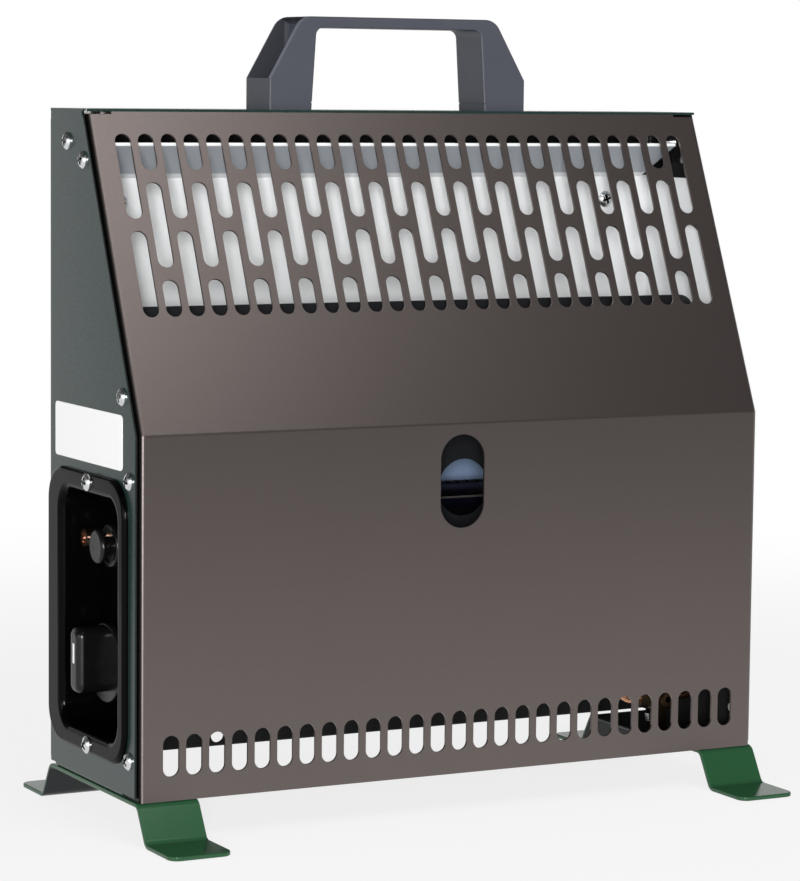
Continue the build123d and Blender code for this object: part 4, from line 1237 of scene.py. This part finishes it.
@dataclass
class Studio:
    """The pale floor, the white surround, the dark ceiling and cards, the lamps and the camera."""

    ambient: float = 0.32
    floor_reach: float = 30.0
    floor_gap: float = 0.2 * MM
    floor_white: float = 0.9
    floor_glow: float = 0.8
    shadow_from: float = 0.35
    shadow_to: float = 1.1
    cards: tuple[Card, ...] = (
        Card("ceiling", level(reach=4.5, height=1.5), grey=0.03),
        Card("front_card", upright(start=-0.3, end=1.3, depth=-0.8, top=0.5), grey=0.12),
        Card("side_card", upright(start=-1.6, end=-0.45, depth=0.6, top=1.2), grey=0.1))
    lamps: tuple[Lamp, ...] = (
        Lamp("key", place=(0.07, -0.72, 1.06), size=(0.55, 0.45), power=3.0),
        Lamp("left", place=(-1.5, -0.6, 0.3), size=(0.9, 0.5), power=4.0),
        Lamp("front", place=(-1.6, -3.0, 0.5), size=(0.45, 0.7), power=112.0))
    azimuth: float = -27.82
    elevation: float = 6.0
    roll: float = 0.6
    camera_place: Place = (-0.7667, -1.4419, 0.3442)
    lens: float = 138.52
    sensor: float = 36.0
    aim: Place = (0.0, 0.0, 0.2)

    @staticmethod
    def _seen(graph: NodeGraph) -> Term:
        """Which rays show the surround and the floor at full strength.

        Args:
            graph: the graph that asks.

        Returns:
            A term that is 1 for rays of the camera, of gloss and through glass.
        """
        path = graph.node("ShaderNodeLightPath").outputs
        camera, gloss, glass = (
            Term(graph, path[f"Is {ray} Ray"]) for ray in ("Camera", "Glossy", "Transmission"))
        seen = graph.node("ShaderNodeClamp", {}, {"Value": camera + gloss + glass})
        return Term(graph, seen.outputs["Result"])

    def light_world(self) -> None:
        """A white surround that lights the object softly."""
        world = bpy.data.worlds.new("surround")
        bpy.context.scene.world = world
        world.use_nodes = True
        graph = NodeGraph(world.node_tree)
        strength = self.ambient + self._seen(graph) * (1.0 - self.ambient)
        sky = graph.node("ShaderNodeBackground", {}, {"Color": WHITE, "Strength": strength})
        graph.node("ShaderNodeOutputWorld", {}, {"Surface": sky.outputs["Background"]})

    @staticmethod
    def _lay_sheet(name: str, corners: Sequence[Place], material: bpy.types.Material) -> bpy.types.Object:
        """Adds a flat sheet that belongs to the stage.

        Args:
            name: the sheet's name.
            corners: its four corners in order.
            material: its finish.

        Returns:
            The sheet.
        """
        mesh = bpy.data.meshes.new(name)
        mesh.from_pydata(corners, [], [(0, 1, 2, 3)])
        mesh.materials.append(material)
        sheet = added(name, mesh)
        return sheet

    def lay_floor(self) -> None:
        """A pale floor that keeps the object's shadow and turns white away from it."""
        graph = SurfaceGraph("pale_floor")
        x, y = graph.axis("X"), graph.axis("Y")
        far = graph.rise((x * x + y * y) ** 0.5, self.shadow_from, self.shadow_to)
        glow_share = self._seen(graph) * (self.floor_glow + far * (1.0 - self.floor_glow))
        matte = graph.node("ShaderNodeBsdfDiffuse", {}, {"Color": shade(WHITE, self.floor_white)})
        glow = graph.node("ShaderNodeEmission", {}, {"Color": WHITE, "Strength": 1.0})
        both = graph.node("ShaderNodeMixShader", {}, {
            0: glow_share, 1: matte.outputs["BSDF"], 2: glow.outputs["Emission"]})
        graph.node("ShaderNodeOutputMaterial", {}, {"Surface": both.outputs["Shader"]})
        self._lay_sheet("floor", level(self.floor_reach, -self.floor_gap), graph.material)

    def hang_card(self, card: Card) -> None:
        """Hangs one dark card, so that glossy paint keeps its depth.

        Args:
            card: the card.
        """
        graph = SurfaceGraph(card.name)
        matte = graph.node("ShaderNodeBsdfDiffuse", {}, {"Color": shade(WHITE, card.grey)})
        graph.node("ShaderNodeOutputMaterial", {}, {"Surface": matte.outputs["BSDF"]})
        sheet = self._lay_sheet(card.name, card.corners, graph.material)
        sheet.visible_camera = sheet.visible_diffuse = False
        sheet.visible_transmission = sheet.visible_shadow = False

    def hang_lamp(self, lamp: Lamp) -> None:
        """Hangs one lamp that points at the object.

        Args:
            lamp: the lamp.
        """
        data = bpy.data.lights.new(lamp.name, "AREA")
        data.shape = "RECTANGLE"
        data.size, data.size_y = lamp.size
        data.energy = lamp.power
        hung = added(lamp.name, data)
        hung.location = lamp.place
        hung.rotation_mode = "QUATERNION"
        hung.rotation_quaternion = (Vector(self.aim) - Vector(lamp.place)).to_track_quat("-Z", "Y")

    def set_camera(self) -> None:
        """The camera at the photograph's viewing angle."""
        azimuth, elevation, roll = (math.radians(v) for v in (self.azimuth, self.elevation, self.roll))
        back = Vector((math.sin(azimuth) * math.cos(elevation), -math.cos(azimuth) * math.cos(elevation),
                       math.sin(elevation)))
        across = Vector((math.cos(azimuth), math.sin(azimuth), 0.0))
        above = back.cross(across)
        right = math.cos(roll) * across + math.sin(roll) * above
        up = math.cos(roll) * above - math.sin(roll) * across
        data = bpy.data.cameras.new("camera")
        data.lens = self.lens
        data.sensor_width = self.sensor
        camera = added("camera", data)
        turned = Matrix((right, up, back)).transposed().to_4x4()
        camera.matrix_world = Matrix.Translation(self.camera_place) @ turned
        bpy.context.scene.camera = camera

    def build(self) -> None:
        """Sets up the floor, light and camera."""
        bpy.context.scene.view_settings.view_transform = "Standard"
        self.light_world()
        self.lay_floor()
        for card in self.cards:
            self.hang_card(card)
        for lamp in self.lamps:
            self.hang_lamp(lamp)
        self.set_camera()


def main() -> None:
    """Builds and dresses the heater, then sets up the studio."""
    logging.basicConfig(level=logging.INFO, format="%(name)s: %(message)s")
    fasteners = Fasteners()
    zinc, brass = fasteners.zinc.material(), fasteners.brass.material()
    Casing().dress()
    CarryHandle().dress()
    Controls().dress(zinc, brass)
    HotBox().dress(zinc)
    GasLine().dress(brass)
    fasteners.build(zinc)
    Studio().build()


if __name__ == "__main__":
    main()
